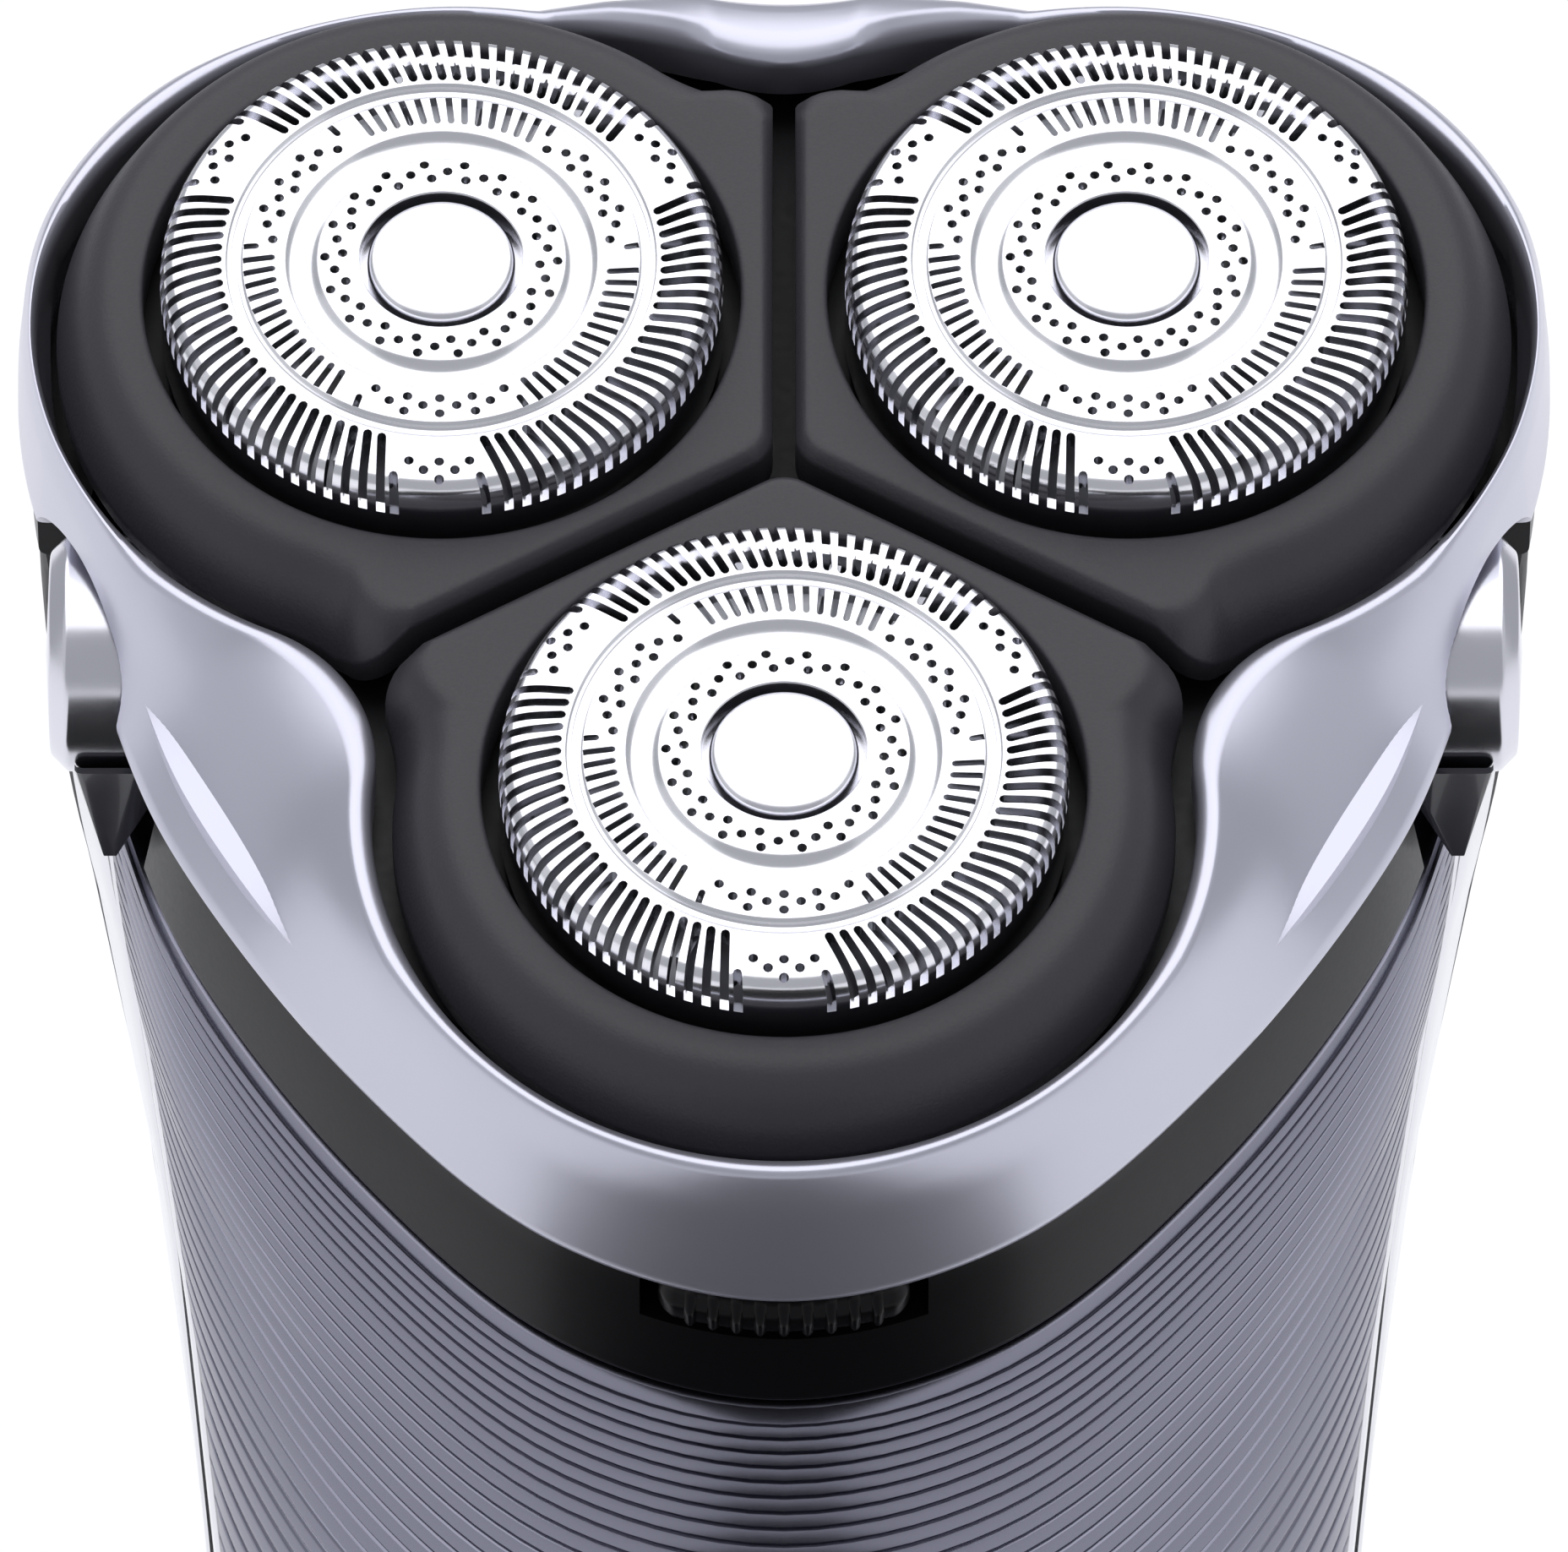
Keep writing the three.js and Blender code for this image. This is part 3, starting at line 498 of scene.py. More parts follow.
def slot_cutter(inner, outer, low, width, sweep):
    """A cutter for one slot along +X, rounded at its inner end and turned by sweep degrees."""
    half = width / 2
    outline = [(outer, -half), (outer, half), (inner + half, half), (inner + half * 0.3, half * 0.7),
               (inner, 0), (inner + half * 0.3, -half * 0.7), (inner + half, -half)]
    middle = Matrix.Translation(((inner + outer) / 2, 0, 0))
    turn = middle @ Matrix.Rotation(math.radians(sweep), 4, "Z") @ middle.inverted()
    return prism(outline, low, 0.5, turn)


def prism(outline, low, high, placed=Matrix()):
    """A straight-sided piece with the given outline, from low to high."""
    count = len(outline)
    points = [placed @ Vector((x, y, z)) * MM for z in (low, high) for x, y in outline]
    sides = [(k, (k + 1) % count, count + (k + 1) % count, count + k) for k in range(count)]
    mesh = bpy.data.meshes.new("prism")
    mesh.from_pydata(points, [], sides + [tuple(reversed(range(count))), tuple(range(count, 2 * count))])
    return facing_out(mesh)


def dot_cutters(places, low):
    """Cutters for round holes at (radius, degrees)."""
    group = bmesh.new()
    for radius, degrees in places:
        x, y = radius * math.cos(math.radians(degrees)), radius * math.sin(math.radians(degrees))
        outline = [(x + DOT_RADIUS * math.cos(k * math.pi / 5), y + DOT_RADIUS * math.sin(k * math.pi / 5))
                   for k in range(10)]
        group.from_mesh(prism(outline, low, 0.5))
    mesh = bpy.data.meshes.new("dots")
    group.to_mesh(mesh)
    group.free()
    return mesh


def new_tree(name, inputs):
    """Starts a geometry tree with inputs (name, kind, default); returns it with its input node."""
    tree = bpy.data.node_groups.new(name, "GeometryNodeTree")
    for label, kind, default in [("Geometry", "NodeSocketGeometry", None)] + inputs:
        socket = tree.interface.new_socket(label, in_out="INPUT", socket_type=kind)
        if default is not None:
            socket.default_value = default
    tree.interface.new_socket("Geometry", in_out="OUTPUT", socket_type="NodeSocketGeometry")
    return tree, tree.nodes.new("NodeGroupInput")


def end_tree(tree, last, material):
    """Realizes the last node's geometry, coats it and sends it out."""
    realized = add_node(tree, "GeometryNodeRealizeInstances", {}, {"Geometry": last.outputs[0]})
    coated = add_node(tree, "GeometryNodeSetMaterial", {},
                      {"Geometry": realized.outputs[0], "Material": material})
    result = tree.nodes.new("NodeGroupOutput")
    tree.links.new(coated.outputs[0], result.inputs[0])


# The tree sets one cutter out round the axis, skips the places that fall in the gaps between the
# groups, and cuts the copies from the cap.
perforate, given = new_tree("perforate_round_axis", [
    ("Cutter", "NodeSocketObject", None), ("Places", "NodeSocketInt", 96),
    ("Groups", "NodeSocketInt", 3), ("Last In Group", "NodeSocketInt", 25),
    ("First Angle", "NodeSocketFloat", 0.0), ("Steel", "NodeSocketMaterial", None)])
points = add_node(perforate, "GeometryNodePoints", {}, {"Count": given.outputs["Places"]})
index = add_node(perforate, "GeometryNodeInputIndex")
per_turn = add_node(perforate, "ShaderNodeMath", {"operation": "DIVIDE"},
                    {0: given.outputs["Places"], 1: given.outputs["Groups"]})
in_group = add_node(perforate, "ShaderNodeMath", {"operation": "MODULO"},
                    {0: index.outputs[0], 1: per_turn.outputs[0]})
skipped = add_node(perforate, "ShaderNodeMath", {"operation": "GREATER_THAN"},
                   {0: in_group.outputs[0], 1: given.outputs["Last In Group"]})
kept = add_node(perforate, "GeometryNodeDeleteGeometry", {"domain": "POINT"},
                {"Geometry": points.outputs[0], "Selection": skipped.outputs[0]})
numbered = add_node(perforate, "GeometryNodeStoreNamedAttribute",
                    {"data_type": "INT", "domain": "POINT", "Name": "place"},
                    {"Geometry": points.outputs[0], "Value": index.outputs[0]})
perforate.links.new(numbered.outputs[0], kept.inputs["Geometry"])
place_number = add_node(perforate, "GeometryNodeInputNamedAttribute", {"data_type": "INT", "Name": "place"})
step_angle = add_node(perforate, "ShaderNodeMath", {"operation": "DIVIDE", 0: math.tau},
                      {1: given.outputs["Places"]})
angle = add_node(perforate, "ShaderNodeMath", {"operation": "MULTIPLY_ADD"},
                 {0: place_number.outputs[0], 1: step_angle.outputs[0], 2: given.outputs["First Angle"]})
rotation = add_node(perforate, "ShaderNodeCombineXYZ", {}, {"Z": angle.outputs[0]})
cutter_info = add_node(perforate, "GeometryNodeObjectInfo", {}, {"Object": given.outputs["Cutter"]})
copies = add_node(perforate, "GeometryNodeInstanceOnPoints", {},
                  {"Points": kept.outputs[0], "Instance": cutter_info.outputs["Geometry"],
                   "Rotation": rotation.outputs[0]})
solid_copies = add_node(perforate, "GeometryNodeRealizeInstances", {}, {"Geometry": copies.outputs[0]})
cut_cap = add_node(perforate, "GeometryNodeMeshBoolean", {"operation": "DIFFERENCE", "solver": "EXACT"},
                   {"Mesh 1": given.outputs["Geometry"], "Mesh 2": solid_copies.outputs[0]})
end_tree(perforate, cut_cap, given.outputs["Steel"])


def with_nodes(mesh, group, values):
    """Runs a geometry tree on a mesh, in metres, and returns the plain mesh."""
    body = linked_object("body", mesh)
    nodes = body.modifiers.new("nodes", "NODES")
    nodes.node_group = group
    for item in group.interface.items_tree:
        if item.in_out == "INPUT" and item.name in values:
            nodes[item.identifier] = values[item.name]
    result = evaluated_mesh(body)
    bpy.data.objects.remove(body)
    return result


def perforated(mesh, cutter, steel, places, last_in_group, first_angle):
    """Cuts copies of a cutter, set out round the axis in three groups, from a mesh."""
    tool = linked_object("cutter", cutter)
    result = with_nodes(mesh, perforate, {
        "Cutter": tool, "Places": places, "Groups": 3, "Last In Group": last_in_group,
        "First Angle": math.radians(first_angle), "Steel": steel})
    bpy.data.objects.remove(tool)
    return result


def mark_places(mesh):
    """Stores each vertex's place before the piece is set in the head, in mm."""
    places = numpy.empty(len(mesh.vertices) * 3, numpy.float32)
    mesh.vertices.foreach_get("co", places)
    mesh.attributes.new("place_on_axis", "FLOAT_VECTOR", "POINT").data.foreach_set("vector", places / MM)


def in_metres(placed):
    """The same placing, for a mesh that is already in metres."""
    moved = placed.copy()
    moved.translation *= MM
    return moved


def turning_marks(tree, shader, low, high, pitch):
    """Varies roughness along the radius, as a polished turned or stamped face does."""
    on_axis = add_node(tree, "ShaderNodeAttribute", {"attribute_name": "place_on_axis"})
    flat = add_node(tree, "ShaderNodeVectorMath", {"operation": "MULTIPLY", 1: (1, 1, 0)},
                    {0: on_axis.outputs["Vector"]})
    radius = add_node(tree, "ShaderNodeVectorMath", {"operation": "LENGTH"}, {0: flat.outputs[0]})
    marks = add_node(tree, "ShaderNodeTexNoise",
                     {"noise_dimensions": "1D", "Scale": 1 / pitch, "Detail": 3.0},
                     {"W": radius.outputs["Value"]})
    vary_roughness(tree, shader, marks, low, high)


# Polished stainless steel: bright and slightly cool, with the fine rings that polishing leaves.
POLISH_RINGS = 0.2
guard_steel, tree, shader = new_material("polished_stainless_guard", "#EDEDF2", 0.18, 1.0)
turning_marks(tree, shader, 0.13, 0.22, POLISH_RINGS)

cap_profile = rounded([
    (0, -1.9, 0), (3.25, -1.9, 0), (3.25, 0, 0.15), (4.85, 0, 0.25), (5.15, -0.22, 0.15),
    (5.6, -0.42, 0.4), (6.05, -0.22, 0.15), (6.35, 0, 0.25), (7.95, 0, 0.2), (8.15, -0.3, 0.1),
    (8.4, -0.3, 0.1), (8.6, 0, 0.15), (10.2, 0, 0.5), (10.95, -0.22, 0.35), (CAP_RADIUS, -0.95, 0.4),
    (CAP_RADIUS, -4.9, 0.1), (10.8, -4.9, 0), (10.8, -1.5, 0.3), (10.2, -1.0, 0.3), (8.5, -1.0, 0),
    (8.3, -0.6, 0), (3.8, -0.6, 0), (3.8, -2.4, 0), (0, -2.4, 0)], 3)
cap_mesh = turned("cap", cap_profile, Matrix(), CAP_STEPS)

long_slot = slot_cutter(8.72, 11.7, -1.85, SLOT_WIDTH, 12)
short_slot = slot_cutter(6.62, 7.92, -0.8, SHORT_SLOT_WIDTH, 8)
window_dots = dot_cutters([(9.87, -7), (10.24, -3.5), (9.85, 0), (10.63, 0), (10.24, 3.5), (9.87, 7)], -1.3)
chevron_dots = dot_cutters(
    [(6.8, -22), (7.17, -16.3), (6.81, -10.9), (7.53, -10.9), (7.15, -5.4), (6.79, 0), (7.52, 0),
     (7.15, 5.4), (6.81, 10.9), (7.53, 10.9), (7.17, 16.3), (6.8, 22)], -0.9)
ring_dots = dot_cutters([(3.95, 0), (4.65, 2.8), (4.28, 11)], -0.9)


def joined(*parts):
    """Puts several meshes, each with a turn about the axis in degrees, into one."""
    group = bmesh.new()
    for mesh, degrees in parts:
        copy = mesh.copy()
        copy.transform(Matrix.Rotation(math.radians(degrees), 4, "Z"))
        group.from_mesh(copy)
    result = bpy.data.meshes.new("joined")
    group.to_mesh(result)
    group.free()
    return result


outer_step, inner_step = 360 / OUTER_SLOTS, 360 / INNER_SLOTS
half_slot = slot_cutter(10.4, 11.7, -1.85, SLOT_WIDTH, 12)
half_short = slot_cutter(7.3, 7.92, -0.8, SHORT_SLOT_WIDTH, 8)
window_tools = joined((window_dots, 0), (half_slot, 2.5 * outer_step), (half_slot, -2.5 * outer_step))
chevron_tools = joined((chevron_dots, 0), (half_short, 5.5 * inner_step), (half_short, -5.5 * inner_step))
for cutter, places, last_in_group, first_angle in (
        (long_slot, OUTER_SLOTS, 25, 3.5 * outer_step), (short_slot, INNER_SLOTS, 12, 6.5 * inner_step),
        (window_tools, 3, 0, 0.0), (chevron_tools, 3, 0, 0.0), (ring_dots, RING_DOTS, 5, 6.0)):
    cap_mesh = perforated(cap_mesh, cutter, guard_steel, places, last_in_group, first_angle)
mark_places(cap_mesh)
for i in LOBES:
    mesh = cap_mesh.copy()
    mesh.transform(in_metres(lobe_frame(i)))
    finish_piece(f"guard_cap_{i}", mesh, guard_steel, f"cap_{i}", [f"cap_{i}"], 30)


# ---- Guard badges -----------------------------------------------------------------------------
# A plain domed steel disc is pressed into the middle of each guard.
badge_mesh = turned("badge", rounded([
    (0, 0.25, 0), (1.2, 0.24, 0), (2.2, 0.16, 0.5), (2.8, 0.0, 0.3), (2.95, -0.25, 0.1), (2.95, -1.5, 0),
    (0, -1.5, 0)]), Matrix(), 96)
mark_places(badge_mesh)
# Pressed and polished stainless steel: as the guards, a little duller.
badge_steel, tree, shader = new_material("domed_stainless_badge", "#E6E6EC", 0.2, 1.0)
turning_marks(tree, shader, 0.16, 0.26, POLISH_RINGS)
for i in LOBES:
    mesh = badge_mesh.copy()
    mesh.transform(in_metres(lobe_frame(i)))
    finish_piece(f"guard_badge_{i}", mesh, badge_steel, f"cap_{i}", [f"cap_badge_{i}"], 30)


# ---- Collar -----------------------------------------------------------------------------------
# A satin black moulded band snaps over the top of the front shell. Its upper edge tucks under the
# silver frame and its middle is notched for the release button.
# Satin-moulded black ABS: nearly black, with a soft sheen and hardly any highlight.
black_satin, tree, shader = new_material("satin_black_abs", "#0B0B0D", 0.3, Specular_IOR_Level=0.16)
SATIN_GRAIN = 0.25
grain = noise(tree, SATIN_GRAIN)
vary_roughness(tree, shader, grain, 0.26, 0.36)
emboss(tree, shader, grain, 0.1, 0.02)

COLLAR_LOW = -19.0
COLLAR_ENDS = (-161, -19)
NOTCH_HALF, NOTCH_LOW, NOTCH_HIGH = 5.7, -15.25, -10.95


def collar_section(angle):
    rim = rim_radius(angle)
    return rounded([
        (rim - 1.75, -9.8, 0.3), (rim - 1.75, -13, 1.5), (rim - 0.7, COLLAR_LOW, 0.45),
        (rim - 2.6, COLLAR_LOW, 0), (rim - 3.4, -13, 0), (rim - 3.4, -9.8, 0)], 5)


collar_mesh = ring("collar", collar_section, 200, *COLLAR_ENDS)
notch = prism([(-NOTCH_HALF, -45), (NOTCH_HALF, -45), (NOTCH_HALF, -27), (-NOTCH_HALF, -27)],
              NOTCH_LOW, NOTCH_HIGH, HEAD)
collar_mesh = combine("collar", collar_mesh, [notch], "DIFFERENCE")
finish_piece("black_collar", collar_mesh, black_satin, "handle", ["collar"])


# ---- Release button ---------------------------------------------------------------------------
# A satin black tab in the collar's notch opens the head. Fine ridges along its lower lip give
# the thumb a hold.
TAB_ENDS = (-98.8, -81.2)
RIDGES = 11
RIDGE_HEIGHT = 0.28


def tab_section(angle):
    rim = rim_radius(angle)
    along = (math.degrees(angle) - TAB_ENDS[0]) / (TAB_ENDS[1] - TAB_ENDS[0])
    end = min(along, 1 - along) * 17.6 * 0.61                   # mm to the nearer end
    round_off = 0.6 * max(0.0, 1 - end / 0.8) ** 2
    ridge = RIDGE_HEIGHT * max(0.0, math.cos(math.tau * RIDGES * (along - 0.5))) ** 0.7 if end > 0.7 else 0.0
    return rounded([
        (rim - 1.75 - round_off, -11.2, 0.2), (rim - 1.75 - round_off, -13.1, 0.3),
        (rim - 1.2 - round_off + ridge, -13.7, 0.15), (rim - 1.2 - round_off + ridge, -14.5, 0.2),
        (rim - 1.6 - round_off, -14.9 + round_off * 0.4, 0.1), (rim - 2.8, -14.9, 0), (rim - 2.8, -13, 0),
        (rim - 2.8, -11.2, 0)], 3)


finish_piece("release_tab", ring("tab", tab_section, 264, *TAB_ENDS), black_satin, "release_button",
             ["release_button"])


# ---- Neck cover and hinge ---------------------------------------------------------------------
# A satin black band closes the back of the neck. It carries two knuckles, and a steel pin through
# them and the silver frame's lug is the hinge that the head opens on.
COVER_ENDS = (8.5, 171.5)


def cover_section(angle):
    rim = rim_radius(angle)
    return rounded([(rim - 0.5, -11.5, 0.3), (rim - 0.5, -15.8, 0.4), (rim - 2.5, -15.8, 0),
                    (rim - 2.5, -11.5, 0)])


knuckle = [(0, KNUCKLE_IN, 0), (HINGE_RADIUS, KNUCKLE_IN, 0.25), (HINGE_RADIUS, KNUCKLE_OUT, 0.25),
           (0, KNUCKLE_OUT, 0)]
knuckles = [turned("knuckle", rounded(knuckle), across(HINGE_V, HINGE_W, side), 48) for side in (1, -1)]
cover_mesh = combine("cover", ring("cover", cover_section, 160, *COVER_ENDS), knuckles, "UNION")
cover_mesh = combine("cover", cover_mesh, [
    rod("gap", HINGE_RADIUS + GAP, -LUG_HALF - GAP, LUG_HALF + GAP, hinge_line),
    rod("bore", PIN_RADIUS + GAP, -9, 9, hinge_line)], "DIFFERENCE")
finish_piece("black_neck_cover", cover_mesh, black_satin, "neck", ["neck_cover"])

# Drawn steel rod: mid grey, with fine lines from the die.
pin_steel, tree, shader = new_material("drawn_steel_pin", "#C9CACF", 0.25, 1.0)
DRAW_LINE = 0.1
draw_lines = noise(tree, DRAW_LINE, 1.0)
vary_roughness(tree, shader, draw_lines, 0.2, 0.34)
PIN_HALF = 7.4
pin_mesh = turned("pin", rounded([
    (0, -PIN_HALF, 0), (PIN_RADIUS, -PIN_HALF, 0.2), (PIN_RADIUS, PIN_HALF, 0.2),
    (0, PIN_HALF, 0)]), hinge_line, 32)
finish_piece("steel_hinge_pin", pin_mesh, pin_steel, "neck", ["hinge_pin"])


# ---- Pivot barrels and side brackets ----------------------------------------------------------
# The neck tilts on a bright barrel at each side. The barrels lie in cradles on two gloss grey
# brackets that stand on the handle.
# Chromed ABS: bright, a little softened by wear.
bright_trim, tree, shader = new_material("bright_chromed_abs", "#DEDEE6", 0.2, 1.0)
TRIM_SHEEN = 1.5
sheen = noise(tree, TRIM_SHEEN)
vary_roughness(tree, shader, sheen, 0.16, 0.26)

BARREL_IN, BARREL_END = 24.6, 29.4
STUB_RADIUS, STUB_IN = 2.0, 21.5
for name, side in (("right", 1), ("left", -1)):
    barrel = rounded([
        (0, STUB_IN, 0), (STUB_RADIUS, STUB_IN, 0.2), (STUB_RADIUS, BARREL_IN, 0),
        (BARREL_RADIUS, BARREL_IN, 0.2), (BARREL_RADIUS, BARREL_END - 0.7, 0.15),
        (BARREL_RADIUS - 0.7, BARREL_END, 0.15), (0, BARREL_END + 0.2, 0)])
    finish_piece(f"pivot_barrel_{name}_bright", turned("barrel", barrel, across(PIVOT_V, PIVOT_W, side), 96),
                 bright_trim, "handle", [f"pivot_barrel_{name}"])
# Gloss-moulded ABS: dark grey, mirror-like, with slow ripples from the mould.
gloss_grey, tree, shader = new_material("gloss_dark_grey_abs", "#2C2C32", 0.12, 0.0, Coat_Weight=0.4)
GLOSS_RIPPLE = 3.0
flow = noise(tree, GLOSS_RIPPLE)
vary_roughness(tree, shader, flow, 0.08, 0.18)

BRACKET_IN, BRACKET_OUT = 24.4, 28.4
BRACKET_FOOT = COLLAR_LOW + 0.2
TAPER_TOP, TAPER_FOOT = -13.8, 27.2                     # it narrows downward to an edge
cradle = [(-8.2, BRACKET_FOOT), (2.6, BRACKET_FOOT), (2.6, PIVOT_W - 0.9)]
cradle += [(PIVOT_V + (BARREL_RADIUS + GAP) * math.cos(math.radians(a)),
            PIVOT_W + (BARREL_RADIUS + GAP) * math.sin(math.radians(a))) for a in range(-10, -171, -5)]
cradle += [(-7.8, PIVOT_W - 0.9)]
BRACKET_EASE = 0.3


def eased_prism(outline, low, high, ease, placed):
    """A prism whose two end faces are drawn in by a small rounded edge."""
    middle = Vector((sum(x for x, y in outline), sum(y for x, y in outline))) / len(outline)
    sections = []
    for inset, height in ((ease, low), (ease * 0.3, low + ease * 0.3), (0, low + ease), (0, high - ease),
                          (ease * 0.3, high - ease * 0.3), (ease, high)):
        section = []
        for x, y in outline:
            inward = (middle - Vector((x, y))).normalized() * inset
            section.append((x + inward.x, y + inward.y, height))
        sections.append(section)
    count = len(outline)
    points = [placed @ Vector(point) * MM for section in sections for point in section]
    faces = [(low + k, low + (k + 1) % count, low + count + (k + 1) % count, low + count + k)
             for low in range(0, (len(sections) - 1) * count, count) for k in range(count)]
    faces += [tuple(reversed(range(count))), tuple(range(len(points) - count, len(points)))]
    mesh = bpy.data.meshes.new("prism")
    mesh.from_pydata(points, [], faces)
    return facing_out(mesh)


# The bracket's outline lies in the (v, w) plane and runs along u.
u_along = Matrix(((0, 0, 1, 0), (1, 0, 0, 0), (0, 1, 0, 0), (0, 0, 0, 1)))
for name, low, high in (("right", BRACKET_IN, BRACKET_OUT), ("left", -BRACKET_OUT, -BRACKET_IN)):
    mesh = eased_prism(cradle, low, high, BRACKET_EASE, HEAD @ u_along)
    for vertex in mesh.vertices:
        place = HEAD.inverted() @ (vertex.co / MM)
        narrowing = min(max((TAPER_TOP - place.z) / (TAPER_TOP - BRACKET_FOOT), 0.0), 1.0) * 0.85
        foot = math.copysign(TAPER_FOOT, place.x)
        vertex.co = HEAD @ Vector((place.x + (foot - place.x) * narrowing, place.y, place.z)) * MM
    finish_piece(f"shoulder_{name}_gloss", mesh, gloss_grey, "handle", [f"shoulder_{name}"])


# ---- Ribbed front panel -----------------------------------------------------------------------
# The front of the handle is one moulded panel in a dark metallic grey. Fine ribs cross it, level
# with the collar's edge, and it is bored for the power button and slotted for the charge light.
# Each station up the handle: z, y, lean, side, front, rear, how far it follows the rim.
STATIONS = [
    (3, 0, 0, 20.6, 16.2, 16.2, 0), (12, 0, 1, 21.3, 16.9, 16.9, 0), (40, 0, 6, 21.7, 17.8, 17.5, 0),
    (75, -0.5, 16, 22.3, 21, 20.3, 0.05), (95, -1, 22, 22.7, 25.4, 23.3, 0.2),
    (110, 0.5, 25, 22.4, 30.2, 25.2, 0.5), (121, 2.4, 25, 22.5, 33.2, 25.5, 0.8),
    (130.5, 4.16, 25, 28.7, 34.2, 24, 1), (133.6, 2.85, 21.6, 29.4, 34.4, 24, 1)]
SHELL_TOP, REAR_TOP = 7, 8
OVAL_POWER = 2.3
WALL = 2.0


def handle_point(t, degrees, inset):
    """A point of the handle's skin, t stations up, in the given direction, inset mm inside."""
    row = min(int(t), len(STATIONS) - 2)
    z, y, lean, side, front, rear, follow = (
        a + (b - a) * (t - row) for a, b in zip(STATIONS[row], STATIONS[row + 1]))
    angle = math.radians(degrees)
    depth = front if math.sin(angle) < 0 else rear
    oval = ((abs(math.cos(angle)) / side) ** OVAL_POWER
            + (abs(math.sin(angle)) / depth) ** OVAL_POWER) ** (-1 / OVAL_POWER)
    radius = oval + (rim_radius(angle) - 0.7 - oval) * follow - inset
    lean = math.radians(lean)
    out = radius * math.sin(angle)
    return Vector((radius * math.cos(angle), y + out * math.cos(lean), z + out * math.sin(lean)))


def strip_front(t):
    """Degrees from the side to the bright strip's front edge: it thins to a point at the top."""
    return 25 + (5.5 - 25) * min(max((t - 3.6) / 3.4, 0.0), 1.0) ** 1.2


STRIP_REAR = 4.0
EDGE_GAP = 1.1


INNER_STEP = 9                                          # the hidden inside takes every ninth column


def wall_plate(name, rows, start_at, end_at, columns, edge=0.4):
    """Part of the handle's wall: rows of (t, inset), between two directions, with eased edges."""
    sections = []
    for t, inset in rows:
        start, end = start_at(t), end_at(t)
        turn = math.degrees(edge / 24)
        eased = [(start, edge), (start + turn * 0.3, edge * 0.3), (start + turn, 0.0)]
        eased += [(start + turn + (end - start - 2 * turn) * k / columns, 0.0) for k in range(1, columns)]
        eased += [(end - turn, 0.0), (end - turn * 0.3, edge * 0.3), (end, edge)]
        outer = [handle_point(t, degrees, max(inset, drop)) for degrees, drop in eased]
        inside = [end] + [d for d, drop in reversed(eased[INNER_STEP:-1:INNER_STEP])] + [start]
        sections.append(outer + [handle_point(t, degrees, WALL) for degrees in inside])
    return loft(name, sections, False)


def stations_along(low, high, degrees):
    """Distances along the skin from low up to high, with the station t of each."""
    samples = [low + (high - low) * k / 400 for k in range(401)]
    places = [handle_point(t, degrees, 0) for t in samples]
    along = [0.0]
    for a, b in zip(places, places[1:]):
        along.append(along[-1] + (b - a).length)
    return along, samples


def even_rows(low, high, pitch, degrees, edge=0.4):
    """Rows of (t, inset) spaced evenly along the skin, with the two ends eased."""
    along, samples = stations_along(low, high, degrees)
    count = max(1, round(along[-1] / pitch))
    ends = [(0.0, edge), (edge * 0.3, edge * 0.3)]
    distances = ends + [(edge + (along[-1] - 2 * edge) * k / count, 0.0) for k in range(count + 1)]
    distances += [(along[-1] - d, inset) for d, inset in reversed(ends)]
    return [(float(numpy.interp(d, along, samples)), inset) for d, inset in distances]


def panel_front(t):
    return -180 + strip_front(t) + EDGE_GAP


def panel_back(t):
    return -strip_front(t) - EDGE_GAP


# The ribs start close together under the collar and open out down the panel.
RIBS = 42
FIRST_PITCH, PITCH_GROWTH = 0.58, 1.03
RIB_MARGIN = 0.75
RIB_ROWS = (0, 0.06, 0.13, 0.25, 0.5, 0.75, 0.87, 0.94)   # parts of a pitch, close beside the groove
PANEL_EDGE = 0.3
along, samples = stations_along(0, SHELL_TOP, -90)
rib_rows, down, pitch = [], RIB_MARGIN, FIRST_PITCH
for rib in range(RIBS):
    for part in RIB_ROWS:
        rib_rows.append((down + pitch * part, rib + part, 0.0))
    down += pitch
    pitch *= PITCH_GROWTH
plain = [(down + 1.5 * k, float(RIBS), 0.0) for k in range(int((along[-1] - down - 1) / 1.5) + 1)]
rows = [(0.0, 0.0, PANEL_EDGE), (PANEL_EDGE * 0.3, 0.0, PANEL_EDGE * 0.3), (PANEL_EDGE, 0.0, 0.0)]
rows += rib_rows + plain + [(along[-1] - PANEL_EDGE, float(RIBS), 0.0), (along[-1], float(RIBS), PANEL_EDGE)]
panel_rows = [(float(numpy.interp(along[-1] - d, along, samples)), inset) for d, rib, inset in rows]
PANEL_COLUMNS = 72
panel_mesh = wall_plate("panel", panel_rows, panel_front, panel_back, PANEL_COLUMNS, PANEL_EDGE)
outer_count = PANEL_COLUMNS + 5
count = len(panel_mesh.vertices) // len(rows)
rib_values, depth_values = [], []
for down, rib, inset in rows:
    fade = min(1.0, (RIBS - rib) / 6) if 0 < down and inset == 0.0 else 0.0
    for column in range(count):
        from_side = min(column, outer_count - 1 - column)
        rib_values.append(rib)
        depth_values.append(fade * min(max((from_side - 2) / 2, 0.0), 1.0) if column < outer_count else 0.0)
for name, values in (("ribs_down", rib_values), ("rib_strength", depth_values)):
    panel_mesh.attributes.new(name, "FLOAT", "POINT").data.foreach_set("value", values)

